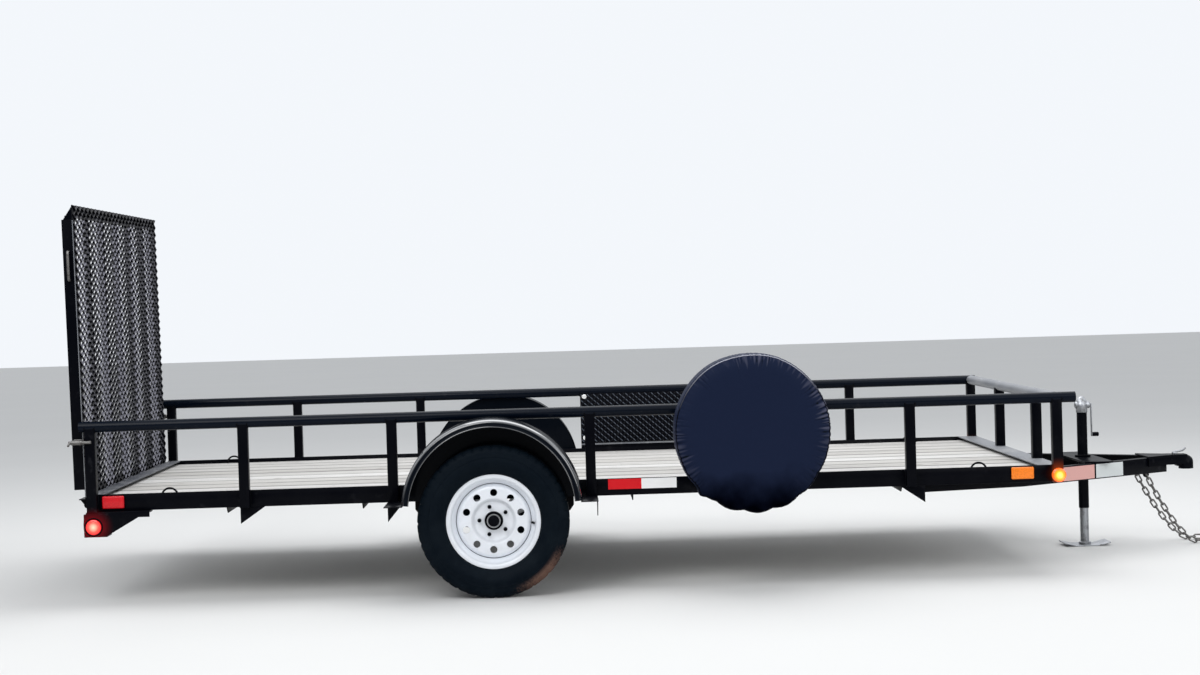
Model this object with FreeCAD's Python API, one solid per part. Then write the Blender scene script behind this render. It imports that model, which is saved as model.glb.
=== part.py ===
import FreeCAD, Part
import math
import os
from FreeCAD import Vector

# Single axle utility trailer with a drop-down mesh ramp gate.
# Millimetres. +X points to the coupler, +Y to the left side, +Z up, the ground is z = 0.
# Everything is laid out from the wheel axis (x = 0) and moved onto the origin when it is written.

# Bed
bed_inner_width = 1956.0
bed_rear = -1814.0
bed_front = 2558.0
rail_height = 76.0
rail_leg = 51.0
rail_wall = 5.0
frame_top = 489.0
board_thickness = 38.0
board_count = 10
board_gap = 6.0
deck_drop = 19.0

# Cross members
cross_leg = 51.0
cross_wall = 5.0
cross_pitch = 610.0
cross_offset = 16.0
cross_end_margin = 110.0
cross_cope = 32.0
front_lip = 100.0
rear_lip = 66.0
header_wall = 6.0

# Side rails and posts
post_size = 44.5
post_wall = 3.5
pipe_diameter = 48.3
pipe_wall = 3.7
rail_top = 818.0
end_post_inset = 22.25
front_bay_pitch = 719.0
rear_bay_shift = 8.0
wheel_bay_rear = -450.0
wheel_bay_front = 436.0
front_post_sides = (245.0, -590.0)
rail_rear_stub = 26.0
rail_front_stub = 62.0
saddle_clearance = 0.2

# Wheels and axle
wheel_radius = 335.0
tyre_width = 205.0
wheel_setout = 112.5
tread_half = 78.0
shoulder_inset = 9.0
shoulder_radius = 312.0
bulge_radius = 258.0
bead_fit = 0.3
bead_radius = 190.5
rim_flange_radius = 209.0
rim_half_width = 70.0
rim_wall = 4.0
rim_drop = 22.0
disc_wall = 5.0
vent_face_inset = 30.0
vent_face_outer = 146.0
vent_face_inner = 99.0
vent_hole_radius = 16.5
vent_circle_radius = 125.5
vent_count = 10
wheel_facets = 48
vent_offset = 1.6
stud_circle_radius = 63.5
stud_count = 5
stud_offset = -16.0
stud_radius = 6.3
stud_hole_radius = 7.5
hub_face_inset = 52.0
hub_pad_radius = 86.0
hub_seat = 0.3
nut_radius = 10.5
nut_length = 18.0
hub_flange_radius = 77.0
hub_drum_length = 58.0
hub_bore_radius = 40.5
hub_clearance = 1.0
axle_radius = 30.0
spindle_radius = 17.0
spindle_clearance = 0.06

# Springs
spring_half_span = 330.0
spring_eye_radius = 15.0
spring_leaf = 6.5
spring_width = 44.5
spring_inset = 28.0
spring_seat = 5.0
leaf_shares = (1.0, 0.72, 0.46)
eye_height = 372.0
eye_bolt_radius = 7.0
eye_bore_radius = 7.3
hanger_length = 52.0
hanger_plate = 6.0
hanger_drop = 20.0
hanger_gap = 0.5
bolt_overhang = 8.0
clamp_length = 90.0
clamp_width = 80.0
clamp_plate = 8.0
clamp_bar = 5.5
clamp_gap = 0.3

# Fenders
fender_radius = 398.0
fender_axis_height = 387.0
fender_setback = 4.0
fender_width = 232.0
fender_gap = 2.5
fender_wall = 2.5
fender_lip = 14.0
fender_foot_height = 419.0
fender_seat = 0.25
bracket_wall = 4.0
bracket_toe = 6.0
bracket_front_x = 463.0
bracket_rear_x = -476.0
bracket_web_depth = 125.0
bracket_gusset_run = 71.0
bracket_tip_height = 329.0

# Gate
hinge_setback = 15.0
hinge_height = 440.0
hinge_barrel_radius = 15.0
hinge_pin_radius = 8.0
hinge_clearance = 0.3
gate_side_gap = 6.0
gate_bottom = 465.0
gate_top = 1787.0
gate_side_rise = 47.0
gate_side_drop = 64.0
gate_leg = 51.0
gate_wall = 5.0
gate_front_gap = 8.0
gate_lean = 0.8
gate_upright_count = 5
gate_upright_leg = 32.0
gate_bottom_flange = 34.0
gate_top_flange = 38.0
handle_radius = 6.0
handle_reach = 22.0
handle_bottom = 1450.0
handle_top = 1580.0
hinge_lug_width = 10.0
hinge_lug_insets = (112.0, 42.0)
hinge_side_gap = 2.0
latch_height = 727.0
latch_pin_radius = 7.0
latch_barrel_radius = 11.0
latch_clearance = 5.5
mesh_thickness = 4.0
mesh_short_way = 86.0
mesh_long_way = 193.0
mesh_strand = 7.0

# Tongue
tongue_height = 76.0
tongue_flange = 40.0
tongue_wall = 5.0
tongue_overlap = 613.0
tongue_reach = 742.0
tongue_tip_side = 48.0
tongue_tail_rise = 34.0
tongue_tail_length = 520.0
coupler_reach = 109.0
ball_radius = 25.4
ball_clearance = 0.4
coupler_wall = 6.0
coupler_overlap = 110.0
coupler_skirt = 42.0
coupler_gap = 0.3
socket_wall = 10.0
socket_skirt = 24.0

# Jack
jack_setback = 405.0
jack_tube_radius = 25.0
jack_tube_wall = 3.5
jack_tube_bottom = 186.0
jack_tube_top = 660.0
jack_head_top = 739.0
jack_leg_radius = 21.2
jack_leg_wall = 3.0
jack_leg_top = 400.0
jack_foot_length = 230.0
jack_foot_width = 130.0
jack_foot_wall = 6.0
jack_foot_flat = 110.0
jack_foot_rise = 14.0
jack_cup_height = 12.0
jack_plate_half = 70.0
jack_plate_wall = 8.0
jack_collar_height = 10.0
jack_shaft_drop = 42.0
crank_arm_bottom = 540.0
crank_arm_width = 18.0
crank_arm_wall = 6.0
crank_knob_length = 32.0

# Spare wheel
spare_offset = -7.0
spare_height = 696.0
spare_setout = 124.5
cover_radius = 350.0
cover_wall = 3.0
cover_gap = 0.3
cover_face_radius = 307.0
cover_opening_radius = 262.0
mount_plate_half = 75.0
mount_arm_half = 40.0

# Reflectors and plates under the rails
amber_setback = 126.0
amber_length = 102.0
gusset_run = 112.0
gusset_drop = 76.0
gusset_wall = 5.0
rear_gusset_offset = -26.0
front_gusset_setback = 618.0

# Tail lights
tail_box = 102.0
tail_setback = 16.0
tail_drop = 9.0
tail_inner = 62.0
tail_outer_inset = 6.0
tail_plate = 5.0
tail_plate_reach = 190.0
rear_lens_radius = 38.0
side_lens_radius = 34.0
marker_setback = 62.0
marker_length = 98.0
marker_wall = 12.0
corner_lamp_height = 446.0
corner_lamp_radius = 32.0
corner_lamp_length = 20.0

# Tread plate panel
panel_wall = 3.0
panel_rise = 29.0
panel_drop = 11.0
panel_bolt_radius = 9.0
panel_bolt_length = 7.0

# Tie down loops on the deck
tie_inset_rear = 358.0
tie_inset_front = 369.0
tie_radius = 36.0
tie_bar = 4.5
tie_inset = 24.0

# Chains
chain_wire = 8.0
chain_inner_length = 36.0
chain_inner_width = 12.0
chain_slack = 0.6
chain_link_count = 15
chain_setback = 118.0
chain_reach = 245.0
chain_inward = 26.0

# Values worked out from the ones above
frame_bottom = frame_top - rail_height
frame_side = bed_inner_width / 2 + rail_wall
deck_top = frame_top - deck_drop
deck_bottom = deck_top - board_thickness
post_outer = frame_side + post_size
pipe_radius = pipe_diameter / 2
pipe_side = frame_side + post_size / 2
pipe_height = rail_top - pipe_radius
rail_inner = bed_inner_width / 2
leg_tip = frame_side - rail_leg
gate_front = bed_rear - gate_front_gap
hinge_x = bed_rear - hinge_setback
gate_side_bottom = gate_bottom + gate_side_rise
gate_side_top = gate_top - gate_side_drop
fender_outer = post_outer + fender_gap + fender_width
rear_post = bed_rear + end_post_inset
front_post = bed_front - end_post_inset
rear_bay = (wheel_bay_rear + rear_post) / 2 + rear_bay_shift
wheel_centre = post_outer + wheel_setout
spring_side = frame_side - spring_inset
gate_half_width = rail_inner - gate_side_gap
spare_centre_side = post_outer + spare_setout
post_stations = (
    rear_post, rear_bay, wheel_bay_rear, wheel_bay_front,
    wheel_bay_front + front_bay_pitch, wheel_bay_front + 2 * front_bay_pitch, front_post,
)
tie_stations = (bed_rear + tie_inset_rear, bed_front - tie_inset_front)
spare_x = post_stations[4] + spare_offset
tongue_root_x = bed_front - tongue_overlap
tongue_tip_x = bed_front + tongue_reach
coupler_x = tongue_tip_x + coupler_reach
jack_x = tongue_tip_x - jack_setback
tongue_top = deck_bottom
tongue_bottom = tongue_top - tongue_height
gate_back = gate_front - mesh_thickness

shapes = {}


def add(name, solids):
    shapes[name] = solids if isinstance(solids, list) else [solids]


def box(x0, x1, y0, y1, z0, z1):
    return Part.makeBox(x1 - x0, y1 - y0, z1 - z0, Vector(x0, y0, z0))


def rod(start, end, radius):
    a, b = Vector(*start), Vector(*end)
    return Part.makeCylinder(radius, (b - a).Length, a, b - a)


def pipe(start, end, radius, wall):
    return rod(start, end, radius).cut(rod(start, end, radius - wall))


def prism(points, direction):
    outline = Part.makePolygon([Vector(*p) for p in points] + [Vector(*points[0])])
    return Part.Face(outline).extrude(Vector(*direction))


def mirrored(shape):
    return shape.mirror(Vector(0, 0, 0), Vector(0, 1, 0))


def both_sides(name, solids):
    """Adds the piece of the left side and its twin on the right side."""
    solids = solids if isinstance(solids, list) else [solids]
    add(name + "_left", solids)
    add(name + "_right", [mirrored(s) for s in solids])


def side_rail():
    profile = [
        (bed_rear, frame_side, frame_bottom),
        (bed_rear, frame_side, frame_top),
        (bed_rear, rail_inner, frame_top),
        (bed_rear, rail_inner, frame_bottom + rail_wall),
        (bed_rear, leg_tip, frame_bottom + rail_wall),
        (bed_rear, leg_tip, frame_bottom),
    ]
    return prism(profile, (bed_front - bed_rear, 0, 0))


def header(face_x, inward, lip):
    """An angle across the bed end: an upright leg and a lip over the board ends."""
    wall_x = face_x + inward * header_wall
    tip_x = face_x + inward * lip
    profile = [
        (face_x, -rail_inner, tongue_top),
        (face_x, -rail_inner, frame_top),
        (tip_x, -rail_inner, frame_top),
        (tip_x, -rail_inner, frame_top - header_wall),
        (wall_x, -rail_inner, frame_top - header_wall),
        (wall_x, -rail_inner, tongue_top),
    ]
    return prism(profile, (0, 2 * rail_inner, 0))


def cross_stations():
    """Even steps from the one beside the axle out to both ends of the bed."""
    first = math.ceil((bed_rear + cross_end_margin - cross_offset) / cross_pitch)
    last = math.floor((bed_front - cross_end_margin - cross_offset) / cross_pitch)
    return [cross_offset + i * cross_pitch for i in range(first, last + 1)]


def cross_member(x):
    """An angle with its flat leg under the boards and the corners of its upright leg cut off."""
    flat = box(x - cross_leg, x, -leg_tip, leg_tip, deck_bottom - cross_wall, deck_bottom)
    low = deck_bottom - cross_leg
    upright = prism(
        [
            (x - cross_wall, -leg_tip, deck_bottom - cross_wall),
            (x - cross_wall, -leg_tip, low + cross_cope),
            (x - cross_wall, -leg_tip + cross_cope, low),
            (x - cross_wall, leg_tip - cross_cope, low),
            (x - cross_wall, leg_tip, low + cross_cope),
            (x - cross_wall, leg_tip, deck_bottom - cross_wall),
        ],
        (cross_wall, 0, 0),
    )
    return flat.fuse(upright).removeSplitter()


def boards():
    side_gap = 2.0
    end_gap = 2.0
    width = (2 * (rail_inner - side_gap) - board_gap * (board_count - 1)) / board_count
    x0 = bed_rear + header_wall + end_gap
    x1 = bed_front - header_wall - end_gap
    result = []
    for i in range(board_count):
        y0 = -rail_inner + side_gap + i * (width + board_gap)
        result.append(box(x0, x1, y0, y0 + width, deck_bottom, deck_top))
    return result


def post(x, y, low):
    half = post_size / 2
    inner = half - post_wall
    outer_box = box(x - half, x + half, y - half, y + half, low, pipe_height)
    return outer_box.cut(box(x - inner, x + inner, y - inner, y + inner, low, pipe_height))


def side_posts():
    x0, x1 = post_stations[0] - 200, post_stations[-1] + 200
    saddle = rod((x0, pipe_side, pipe_height), (x1, pipe_side, pipe_height), pipe_radius + saddle_clearance)
    front = rod(
        (front_rail_x(), -pipe_side, pipe_height),
        (front_rail_x(), pipe_side, pipe_height),
        pipe_radius + saddle_clearance,
    )
    return [largest(post(x, pipe_side, frame_bottom).cut(saddle).cut(front)) for x in post_stations]


def largest(shape):
    return max(shape.Solids, key=lambda s: s.Volume)


def front_rail_x():
    return post_stations[-1]


def front_posts():
    saddle = rod(
        (front_rail_x(), -pipe_side, pipe_height),
        (front_rail_x(), pipe_side, pipe_height),
        pipe_radius + saddle_clearance,
    )
    return [largest(post(front_rail_x(), y, frame_top).cut(saddle)) for y in front_post_sides]


def top_rail(side, stub):
    start = (post_stations[0] - post_size / 2 - rail_rear_stub, side * pipe_side, pipe_height)
    end = (post_stations[-1] + pipe_radius + stub, side * pipe_side, pipe_height)
    return pipe(start, end, pipe_radius, pipe_wall)


def front_top_rail():
    reach = pipe_side
    tube = pipe(
        (front_rail_x(), -reach, pipe_height), (front_rail_x(), reach, pipe_height), pipe_radius, pipe_wall
    )
    for side in (-1, 1):
        cope = rod(
            (front_rail_x() - 100, side * pipe_side, pipe_height),
            (front_rail_x() + 200, side * pipe_side, pipe_height),
            pipe_radius + saddle_clearance,
        )
        tube = tube.cut(cope)
    return largest(tube)


def revolved(points, axis_point, angle=360.0, start_angle=0.0):
    """Turns an outline in the x = 0 half plane (y, z from the axis) about a line along Y."""
    cx, cy, cz = axis_point
    outline = Part.makePolygon(
        [Vector(cx, cy + y, cz + r) for y, r in points] + [Vector(cx, cy + points[0][0], cz + points[0][1])]
    )
    face = Part.Face(outline)
    if start_angle:
        face.rotate(Vector(cx, cy, cz), Vector(0, 1, 0), start_angle)
    return face.revolve(Vector(cx, cy, cz), Vector(0, 1, 0), angle)


def faceted_ring(outline):
    """A ring of flat facets round the Y axis: its outline (y, radius) turned through equal steps."""
    stretch = 1 / math.cos(math.pi / wheel_facets)
    rows = []
    for i in range(wheel_facets):
        a = 2 * math.pi * (i + 0.5) / wheel_facets
        rows.append([Vector(r * stretch * math.sin(a), y, r * stretch * math.cos(a)) for y, r in outline])
    faces = []
    for i, row in enumerate(rows):
        beside = rows[(i + 1) % wheel_facets]
        for j, point in enumerate(row):
            k = (j + 1) % len(row)
            faces.append(Part.Face(Part.makePolygon([point, row[k], beside[k], beside[j], point])))
    ring = Part.Solid(Part.Shell(faces))
    if ring.Volume < 0:
        ring.reverse()
    return ring


def tyre():
    """A trailer tyre: flat tread, shoulders, bulged walls, and beads that sit between the rim flanges."""
    half = tyre_width / 2
    seat = rim_half_width - rim_wall - bead_fit
    outline = [
        (-seat, bead_radius + bead_fit), (-seat, rim_flange_radius + 2), (-half, bulge_radius),
        (-half + shoulder_inset, shoulder_radius), (-tread_half, wheel_radius), (tread_half, wheel_radius),
        (half - shoulder_inset, shoulder_radius), (half, bulge_radius), (seat, rim_flange_radius + 2),
        (seat, bead_radius + bead_fit),
    ]
    return faceted_ring(outline)


def rim():
    """A pressed steel wheel: a drop centre barrel, and a dished disc with round vent holes."""
    w = rim_half_width
    t = rim_wall
    seat = bead_radius
    drop = bead_radius - rim_drop
    flat = w - vent_face_inset
    pad = w - hub_face_inset
    barrel = [
        (-w, rim_flange_radius), (-w + t, rim_flange_radius), (-w + t, seat), (-0.75 * w, seat),
        (-0.5 * w, drop),
        (0.2 * w, drop), (0.5 * w, seat), (w - t, seat), (w - t, rim_flange_radius), (w, rim_flange_radius),
        (w, seat - t), (0.5 * w, seat - t), (0.2 * w, drop - t), (-0.5 * w, drop - t), (-0.75 * w, seat - t),
        (-w, seat - t),
    ]
    disc = [
        (0.0, drop - t / 2), (0.18 * w, drop - t / 2), (flat, vent_face_outer), (flat, vent_face_inner),
        (pad, hub_pad_radius), (pad, hub_bore_radius - 8), (pad - disc_wall, hub_bore_radius - 8),
        (pad - disc_wall, hub_pad_radius + 3), (flat - disc_wall, vent_face_inner + 3),
        (flat - disc_wall, vent_face_outer - 4), (0.0, drop - t - 4),
    ]
    places = [turned_place(vent_circle_radius, 360.0 / vent_count * i + vent_offset) for i in range(vent_count)]
    holes = [rod((x, 0, z), (x, w, z), vent_hole_radius) for x, z in places]
    holes += [rod((x, 0, z), (x, w, z), stud_hole_radius) for x, z in stud_places()]
    holes.append(rod((0, 0, 0), (0, w, 0), hub_bore_radius))
    plate = faceted_ring(disc).removeSplitter().cut(holes)
    return largest(faceted_ring(barrel).fuse(plate).removeSplitter())


def stud_places():
    return [turned_place(stud_circle_radius, 360.0 / stud_count * i + stud_offset) for i in range(stud_count)]


def turned_place(radius, degrees):
    a = math.radians(degrees)
    return radius * math.sin(a), radius * math.cos(a)


def hub():
    """Hub drum behind the wheel disc, its grease cap, and the wheel nuts on their studs."""
    bore = spindle_radius + spindle_clearance
    pad = rim_half_width - hub_face_inset
    back = pad - disc_wall - hub_seat
    nose = hub_bore_radius - hub_clearance
    outline = [
        (back, bore), (back, nose), (pad + 24, nose - 3), (pad + 30, 24.0), (pad + 42, 17.0), (pad + 42, 0.0),
        (pad + 34, 0.0), (pad + 34, bore),
    ]
    drum = [
        (back, bore), (back, hub_flange_radius), (back - 12, hub_flange_radius), (back - 14, 44.0),
        (back - hub_drum_length, 38.0), (back - hub_drum_length, bore),
    ]
    body = revolved(outline, (0, 0, 0)).fuse(revolved(drum, (0, 0, 0)))
    for x, z in stud_places():
        body = body.fuse(rod((x, back - 6, z), (x, pad + hub_seat, z), stud_radius))
        body = body.fuse(hex_nut((x, pad + hub_seat, z), nut_radius, nut_length))
    return body


def hex_nut(place, radius, length):
    x, y, z = place
    corners = []
    for i in range(6):
        a = math.radians(60 * i)
        corners.append((x + radius * math.cos(a), y, z + radius * math.sin(a)))
    return prism(corners, (0, length, 0))


def placed(shape, centre, side):
    """A wheel piece that faces +Y, set at its centre and turned to face its own side."""
    copy = shape.copy() if side > 0 else mirrored(shape)
    copy.translate(Vector(*centre))
    return copy


def wheels():
    pieces = {"tyre": tyre(), "rim": rim(), "hub": hub()}
    for name, side in (("left", 1), ("right", -1)):
        for piece, shape in pieces.items():
            add(piece + "_" + name, placed(shape, (0.0, side * wheel_centre, wheel_radius), side))
    spare_centre = (spare_x, -spare_centre_side, spare_height)
    for piece in ("tyre", "rim"):
        add("spare_" + piece, placed(pieces[piece], spare_centre, -1))


def axle():
    inner_end = wheel_centre + rim_half_width - hub_face_inset - disc_wall - hub_drum_length - 3
    beam = rod((0, -inner_end, wheel_radius), (0, inner_end, wheel_radius), axle_radius)
    tip = wheel_centre + rim_half_width - hub_face_inset + 30
    return beam.fuse(rod((0, -tip, wheel_radius), (0, tip, wheel_radius), spindle_radius))


def leaf_spring():
    """Three leaves under the axle, the main one with an eye at each end."""
    seat_top = wheel_radius - axle_radius - spring_seat
    rise = eye_height - seat_top
    radius = (spring_half_span ** 2 + rise ** 2) / (2 * rise)
    centre_z = seat_top + radius
    y0 = spring_side - spring_width / 2
    leaves = None
    for i, share in enumerate(leaf_shares):
        outer = radius + spring_leaf * (i + 1)
        inner = radius + spring_leaf * i
        half = math.asin(spring_half_span * share / radius)
        leaf = arc_plate(0.0, centre_z, inner, outer, half, y0, spring_width)
        leaves = leaf if leaves is None else leaves.fuse(leaf)
    for end in (-1, 1):
        eye = rod(
            (end * spring_half_span, y0, eye_height), (end * spring_half_span, y0 + spring_width, eye_height),
            spring_eye_radius,
        )
        leaves = leaves.fuse(eye)
        bore = rod(
            (end * spring_half_span, y0, eye_height), (end * spring_half_span, y0 + spring_width, eye_height),
            eye_bore_radius,
        )
        leaves = leaves.cut(bore)
    return leaves


def arc_plate(cx, cz, inner, outer, half, y0, width):
    """A curved bar below its centre, from -half to +half radians about straight down."""
    def at(radius, angle):
        return Vector(cx + radius * math.sin(angle), y0, cz - radius * math.cos(angle))
    edges = [
        Part.Arc(at(inner, -half), at(inner, 0), at(inner, half)).toShape(),
        Part.makeLine(at(inner, half), at(outer, half)),
        Part.Arc(at(outer, half), at(outer, 0), at(outer, -half)).toShape(),
        Part.makeLine(at(outer, -half), at(inner, -half)),
    ]
    return Part.Face(Part.Wire(edges)).extrude(Vector(0, width, 0))


def spring_hangers():
    """A forked bracket and its bolt at each spring eye, and the clamp round the axle."""
    result = []
    y_in = spring_side - spring_width / 2 - hanger_gap
    y_out = spring_side + spring_width / 2 + hanger_gap
    half = hanger_length / 2
    low = eye_height - hanger_drop
    for x in (-spring_half_span, spring_half_span):
        fork = box(x - half, x + half, y_in - hanger_plate, y_out + hanger_plate, low, frame_bottom)
        fork = fork.cut(box(x - half, x + half, y_in, y_out, low, frame_bottom - hanger_plate))
        for side in (-1, 1):
            corner = prism(
                [
                    (x + side * half, y_in - hanger_plate, low),
                    (x + side * (half - 18), y_in - hanger_plate, low),
                    (x + side * half, y_in - hanger_plate, low + 26),
                ],
                (0, y_out - y_in + 2 * hanger_plate, 0),
            )
            fork = fork.cut(corner)
        overhang = hanger_plate + bolt_overhang
        bolt = rod((x, y_in - overhang, eye_height), (x, y_out + overhang, eye_height), eye_bolt_radius)
        result.append(fork.fuse(bolt))
    return result + axle_clamp()


def axle_clamp():
    """Two bolts bent over the axle, the plate under the leaves that they pull up, and the axle's pad."""
    seat = wheel_radius - axle_radius - spring_seat
    low = seat - len(leaf_shares) * spring_leaf - 2 * clamp_gap
    top = wheel_radius + axle_radius + clamp_gap
    half_length, half_width = clamp_length / 2, clamp_width / 2
    y0, y1 = spring_side - half_width, spring_side + half_width
    tie = box(-half_length, half_length, y0, y1, low - clamp_plate, low)
    bend = axle_radius + clamp_gap + clamp_bar
    reach = spring_width / 2 + clamp_bar + 1.5
    for y in (spring_side - reach, spring_side + reach):
        for x in (-bend, bend):
            tie = tie.fuse(rod((x, y, low - 2.5 * clamp_plate), (x, y, wheel_radius), clamp_bar))
        bow = Part.makeTorus(bend, clamp_bar, Vector(0, y, wheel_radius), Vector(0, 1, 0))
        bow = bow.common(box(-bend - clamp_bar, bend + clamp_bar, y - clamp_bar, y + clamp_bar, wheel_radius,
                             top + 2 * clamp_bar))
        tie = tie.fuse(bow)
    pad = box(-30, 30, spring_side - 24, spring_side + 24, seat + 0.7, wheel_radius - 6)
    pad = pad.cut(rod((0, 0, wheel_radius), (0, 2 * spring_side, wheel_radius), axle_radius + 0.1))
    return [tie, largest(pad)]


def fender():
    """A round fender: rolled skin, outer lip and a back plate against the frame."""
    r = fender_radius
    y0 = post_outer + fender_gap
    foot = fender_foot_height - fender_axis_height
    half_angle = math.degrees(math.acos(foot / r))
    section = [
        (y0, r), (fender_outer - 4, r), (fender_outer, r - 4), (fender_outer, r - fender_lip),
        (fender_outer - fender_wall, r - fender_lip), (fender_outer - fender_wall, r - 5),
        (fender_outer - 5, r - fender_wall), (y0, r - fender_wall),
    ]
    x = -fender_setback
    skin = revolved(section, (x, 0, fender_axis_height), 2 * half_angle, -half_angle)
    back = rod((x, y0, fender_axis_height), (x, y0 + fender_wall, fender_axis_height), r - 1.0)
    back = back.common(box(x - r, x + r, y0, y0 + fender_wall, fender_foot_height, fender_axis_height + r))
    return skin.fuse(back)


def fender_brackets():
    """A shelf under each end of the fender, with a web under the front one and a gusset at the rear."""
    foot = fender_foot_height - fender_axis_height
    reach = math.sqrt(fender_radius ** 2 - foot ** 2)
    top = fender_axis_height + foot * (fender_radius - fender_lip) / fender_radius - fender_seat
    t = bracket_wall
    toe = reach - fender_setback - bracket_toe
    front = box(toe, bracket_front_x, post_outer, fender_outer - 1, top - t, top)
    web = prism(
        [
            (bracket_front_x, post_outer, top - t), (bracket_front_x, post_outer + bracket_web_depth, top - t),
            (bracket_front_x, post_outer, bracket_tip_height),
        ],
        (-t, 0, 0),
    )
    rear = box(bracket_rear_x, bracket_toe - reach - fender_setback, post_outer, fender_outer - 1, top - t, top)
    gusset = prism(
        [
            (bracket_rear_x, post_outer, top - t), (bracket_rear_x + bracket_gusset_run, post_outer, top - t),
            (bracket_rear_x, post_outer, bracket_tip_height),
        ],
        (0, gusset_wall, 0),
    )
    return [front.fuse(web), rear.fuse(gusset)]


def gate_angles():
    """Side angles, top and bottom angles and the uprights behind the mesh."""
    back = gate_back
    t = gate_wall
    leg = gate_leg
    w = gate_half_width
    frame = box(back - t, back, -w, w, gate_bottom, gate_bottom + leg)
    frame = frame.fuse(box(back - gate_bottom_flange, back, -w + t, w - t, gate_bottom, gate_bottom + t))
    frame = frame.fuse(box(back - t, back, -w, w, gate_top - leg, gate_top))
    frame = frame.fuse(box(back - gate_top_flange, back, -w + t, w - t, gate_top - leg, gate_top - leg + t))
    for side in (-1, 1):
        y0, y1 = sorted((side * (w - leg), side * w))
        frame = frame.fuse(box(back - t, back, y0, y1, gate_bottom, gate_top))
        y0, y1 = sorted((side * (w - t), side * w))
        frame = frame.fuse(box(back - leg, back, y0, y1, gate_side_bottom, gate_side_top))
    pitch = 2 * w / (gate_upright_count + 1)
    for i in range(gate_upright_count):
        y = -w + pitch * (i + 1)
        frame = frame.fuse(box(back - t, back, y - gate_upright_leg, y, gate_bottom, gate_top))
        frame = frame.fuse(box(back - gate_upright_leg, back, y - t, y, gate_bottom + t, gate_top - leg))
    return frame.removeSplitter()


def gate_lattice():
    """The expanded metal sheet, at a coarser pitch than the real one."""
    w = gate_half_width - 6
    z0, z1 = gate_bottom + 8, gate_top
    across = 2 * w
    x0 = gate_back
    rise = mesh_long_way / mesh_short_way
    height = z1 - z0
    strips = []
    count = int((across + height / rise) / mesh_short_way) + 1
    for lean in (-1, 1):
        for i in range(count + 1):
            start = -w - (height / rise if lean > 0 else 0) + i * mesh_short_way
            end = start + lean * height / rise
            half = mesh_strand / 2
            corners = ((start - half, z0), (start + half, z0), (end + half, z1), (end - half, z1))
            strips.append([(x0, y, z) for y, z in corners])
    sheet = box(x0, gate_front, -w, w, z0, z1)
    solids = []
    for strip in strips:
        bar = prism(strip, (mesh_thickness, 0, 0)).common(sheet)
        if bar.Volume > 1:
            solids.append(bar)
    return largest(solids[0].multiFuse(solids[1:]))


def leaned(shape):
    """Tips a gate piece back about the hinge line by the lean that it stands at."""
    copy = shape.copy()
    copy.rotate(Vector(hinge_x, 0, hinge_height), Vector(0, 1, 0), -gate_lean)
    return copy


def gate():
    add("gate_frame", leaned(gate_angles()))
    add("gate_mesh", leaned(gate_lattice()))
    add("gate_handles", [leaned(gate_handle(side)) for side in (-1, 1)])
    add("gate_latches", gate_latches())
    add("gate_hinges", [leaned(gate_hinge(side)) for side in (-1, 1)])


def gate_handle(side):
    """A bent bar on the outside of a side angle."""
    x = gate_back - gate_leg / 2
    y = side * (gate_half_width + handle_reach)
    grip = rod((x, y, handle_bottom), (x, y, handle_top), handle_radius)
    for z in (handle_bottom, handle_top):
        grip = grip.fuse(rod((x, side * gate_half_width, z), (x, y, z), handle_radius))
        grip = grip.fuse(Part.makeSphere(handle_radius, Vector(x, y, z)))
    return grip


def gate_hinge(side):
    """Two lugs under the gate and the pin that runs through them."""
    near, far = (gate_half_width - inset for inset in hinge_lug_insets)
    pin = rod((hinge_x, side * near, hinge_height), (hinge_x, side * (far + hinge_lug_width), hinge_height),
              hinge_pin_radius)
    for y in (near, far):
        a, b = sorted((side * y, side * (y + hinge_lug_width)))
        lug = rod((hinge_x, a, hinge_height), (hinge_x, b, hinge_height), hinge_barrel_radius)
        plate = prism(
            [
                (hinge_x - 12, a, hinge_height), (hinge_x + 12, a, hinge_height), (gate_back, a, gate_bottom),
                (gate_back - gate_bottom_flange, a, gate_bottom),
            ],
            (0, b - a, 0),
        )
        pin = pin.fuse(lug.fuse(plate))
    return pin


def hinge_barrels():
    """Barrels on the rear header that carry the gate pins."""
    result = []
    near, far = (gate_half_width - inset for inset in hinge_lug_insets)
    for side in (-1, 1):
        a, b = sorted((side * (near + hinge_lug_width + hinge_side_gap), side * (far - hinge_side_gap)))
        barrel = rod((hinge_x, a, hinge_height), (hinge_x, b, hinge_height), hinge_barrel_radius)
        barrel = barrel.fuse(box(hinge_x, bed_rear, a, b, hinge_height - 6, hinge_height + 6))
        barrel = barrel.cut(
            rod((hinge_x, a, hinge_height), (hinge_x, b, hinge_height), hinge_pin_radius + hinge_clearance))
        result.append(largest(barrel))
    return result


def tongue_direction():
    root = Vector(tongue_root_x, leg_tip, 0)
    tip = Vector(tongue_tip_x, tongue_tip_side, 0)
    return root, tip


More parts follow.
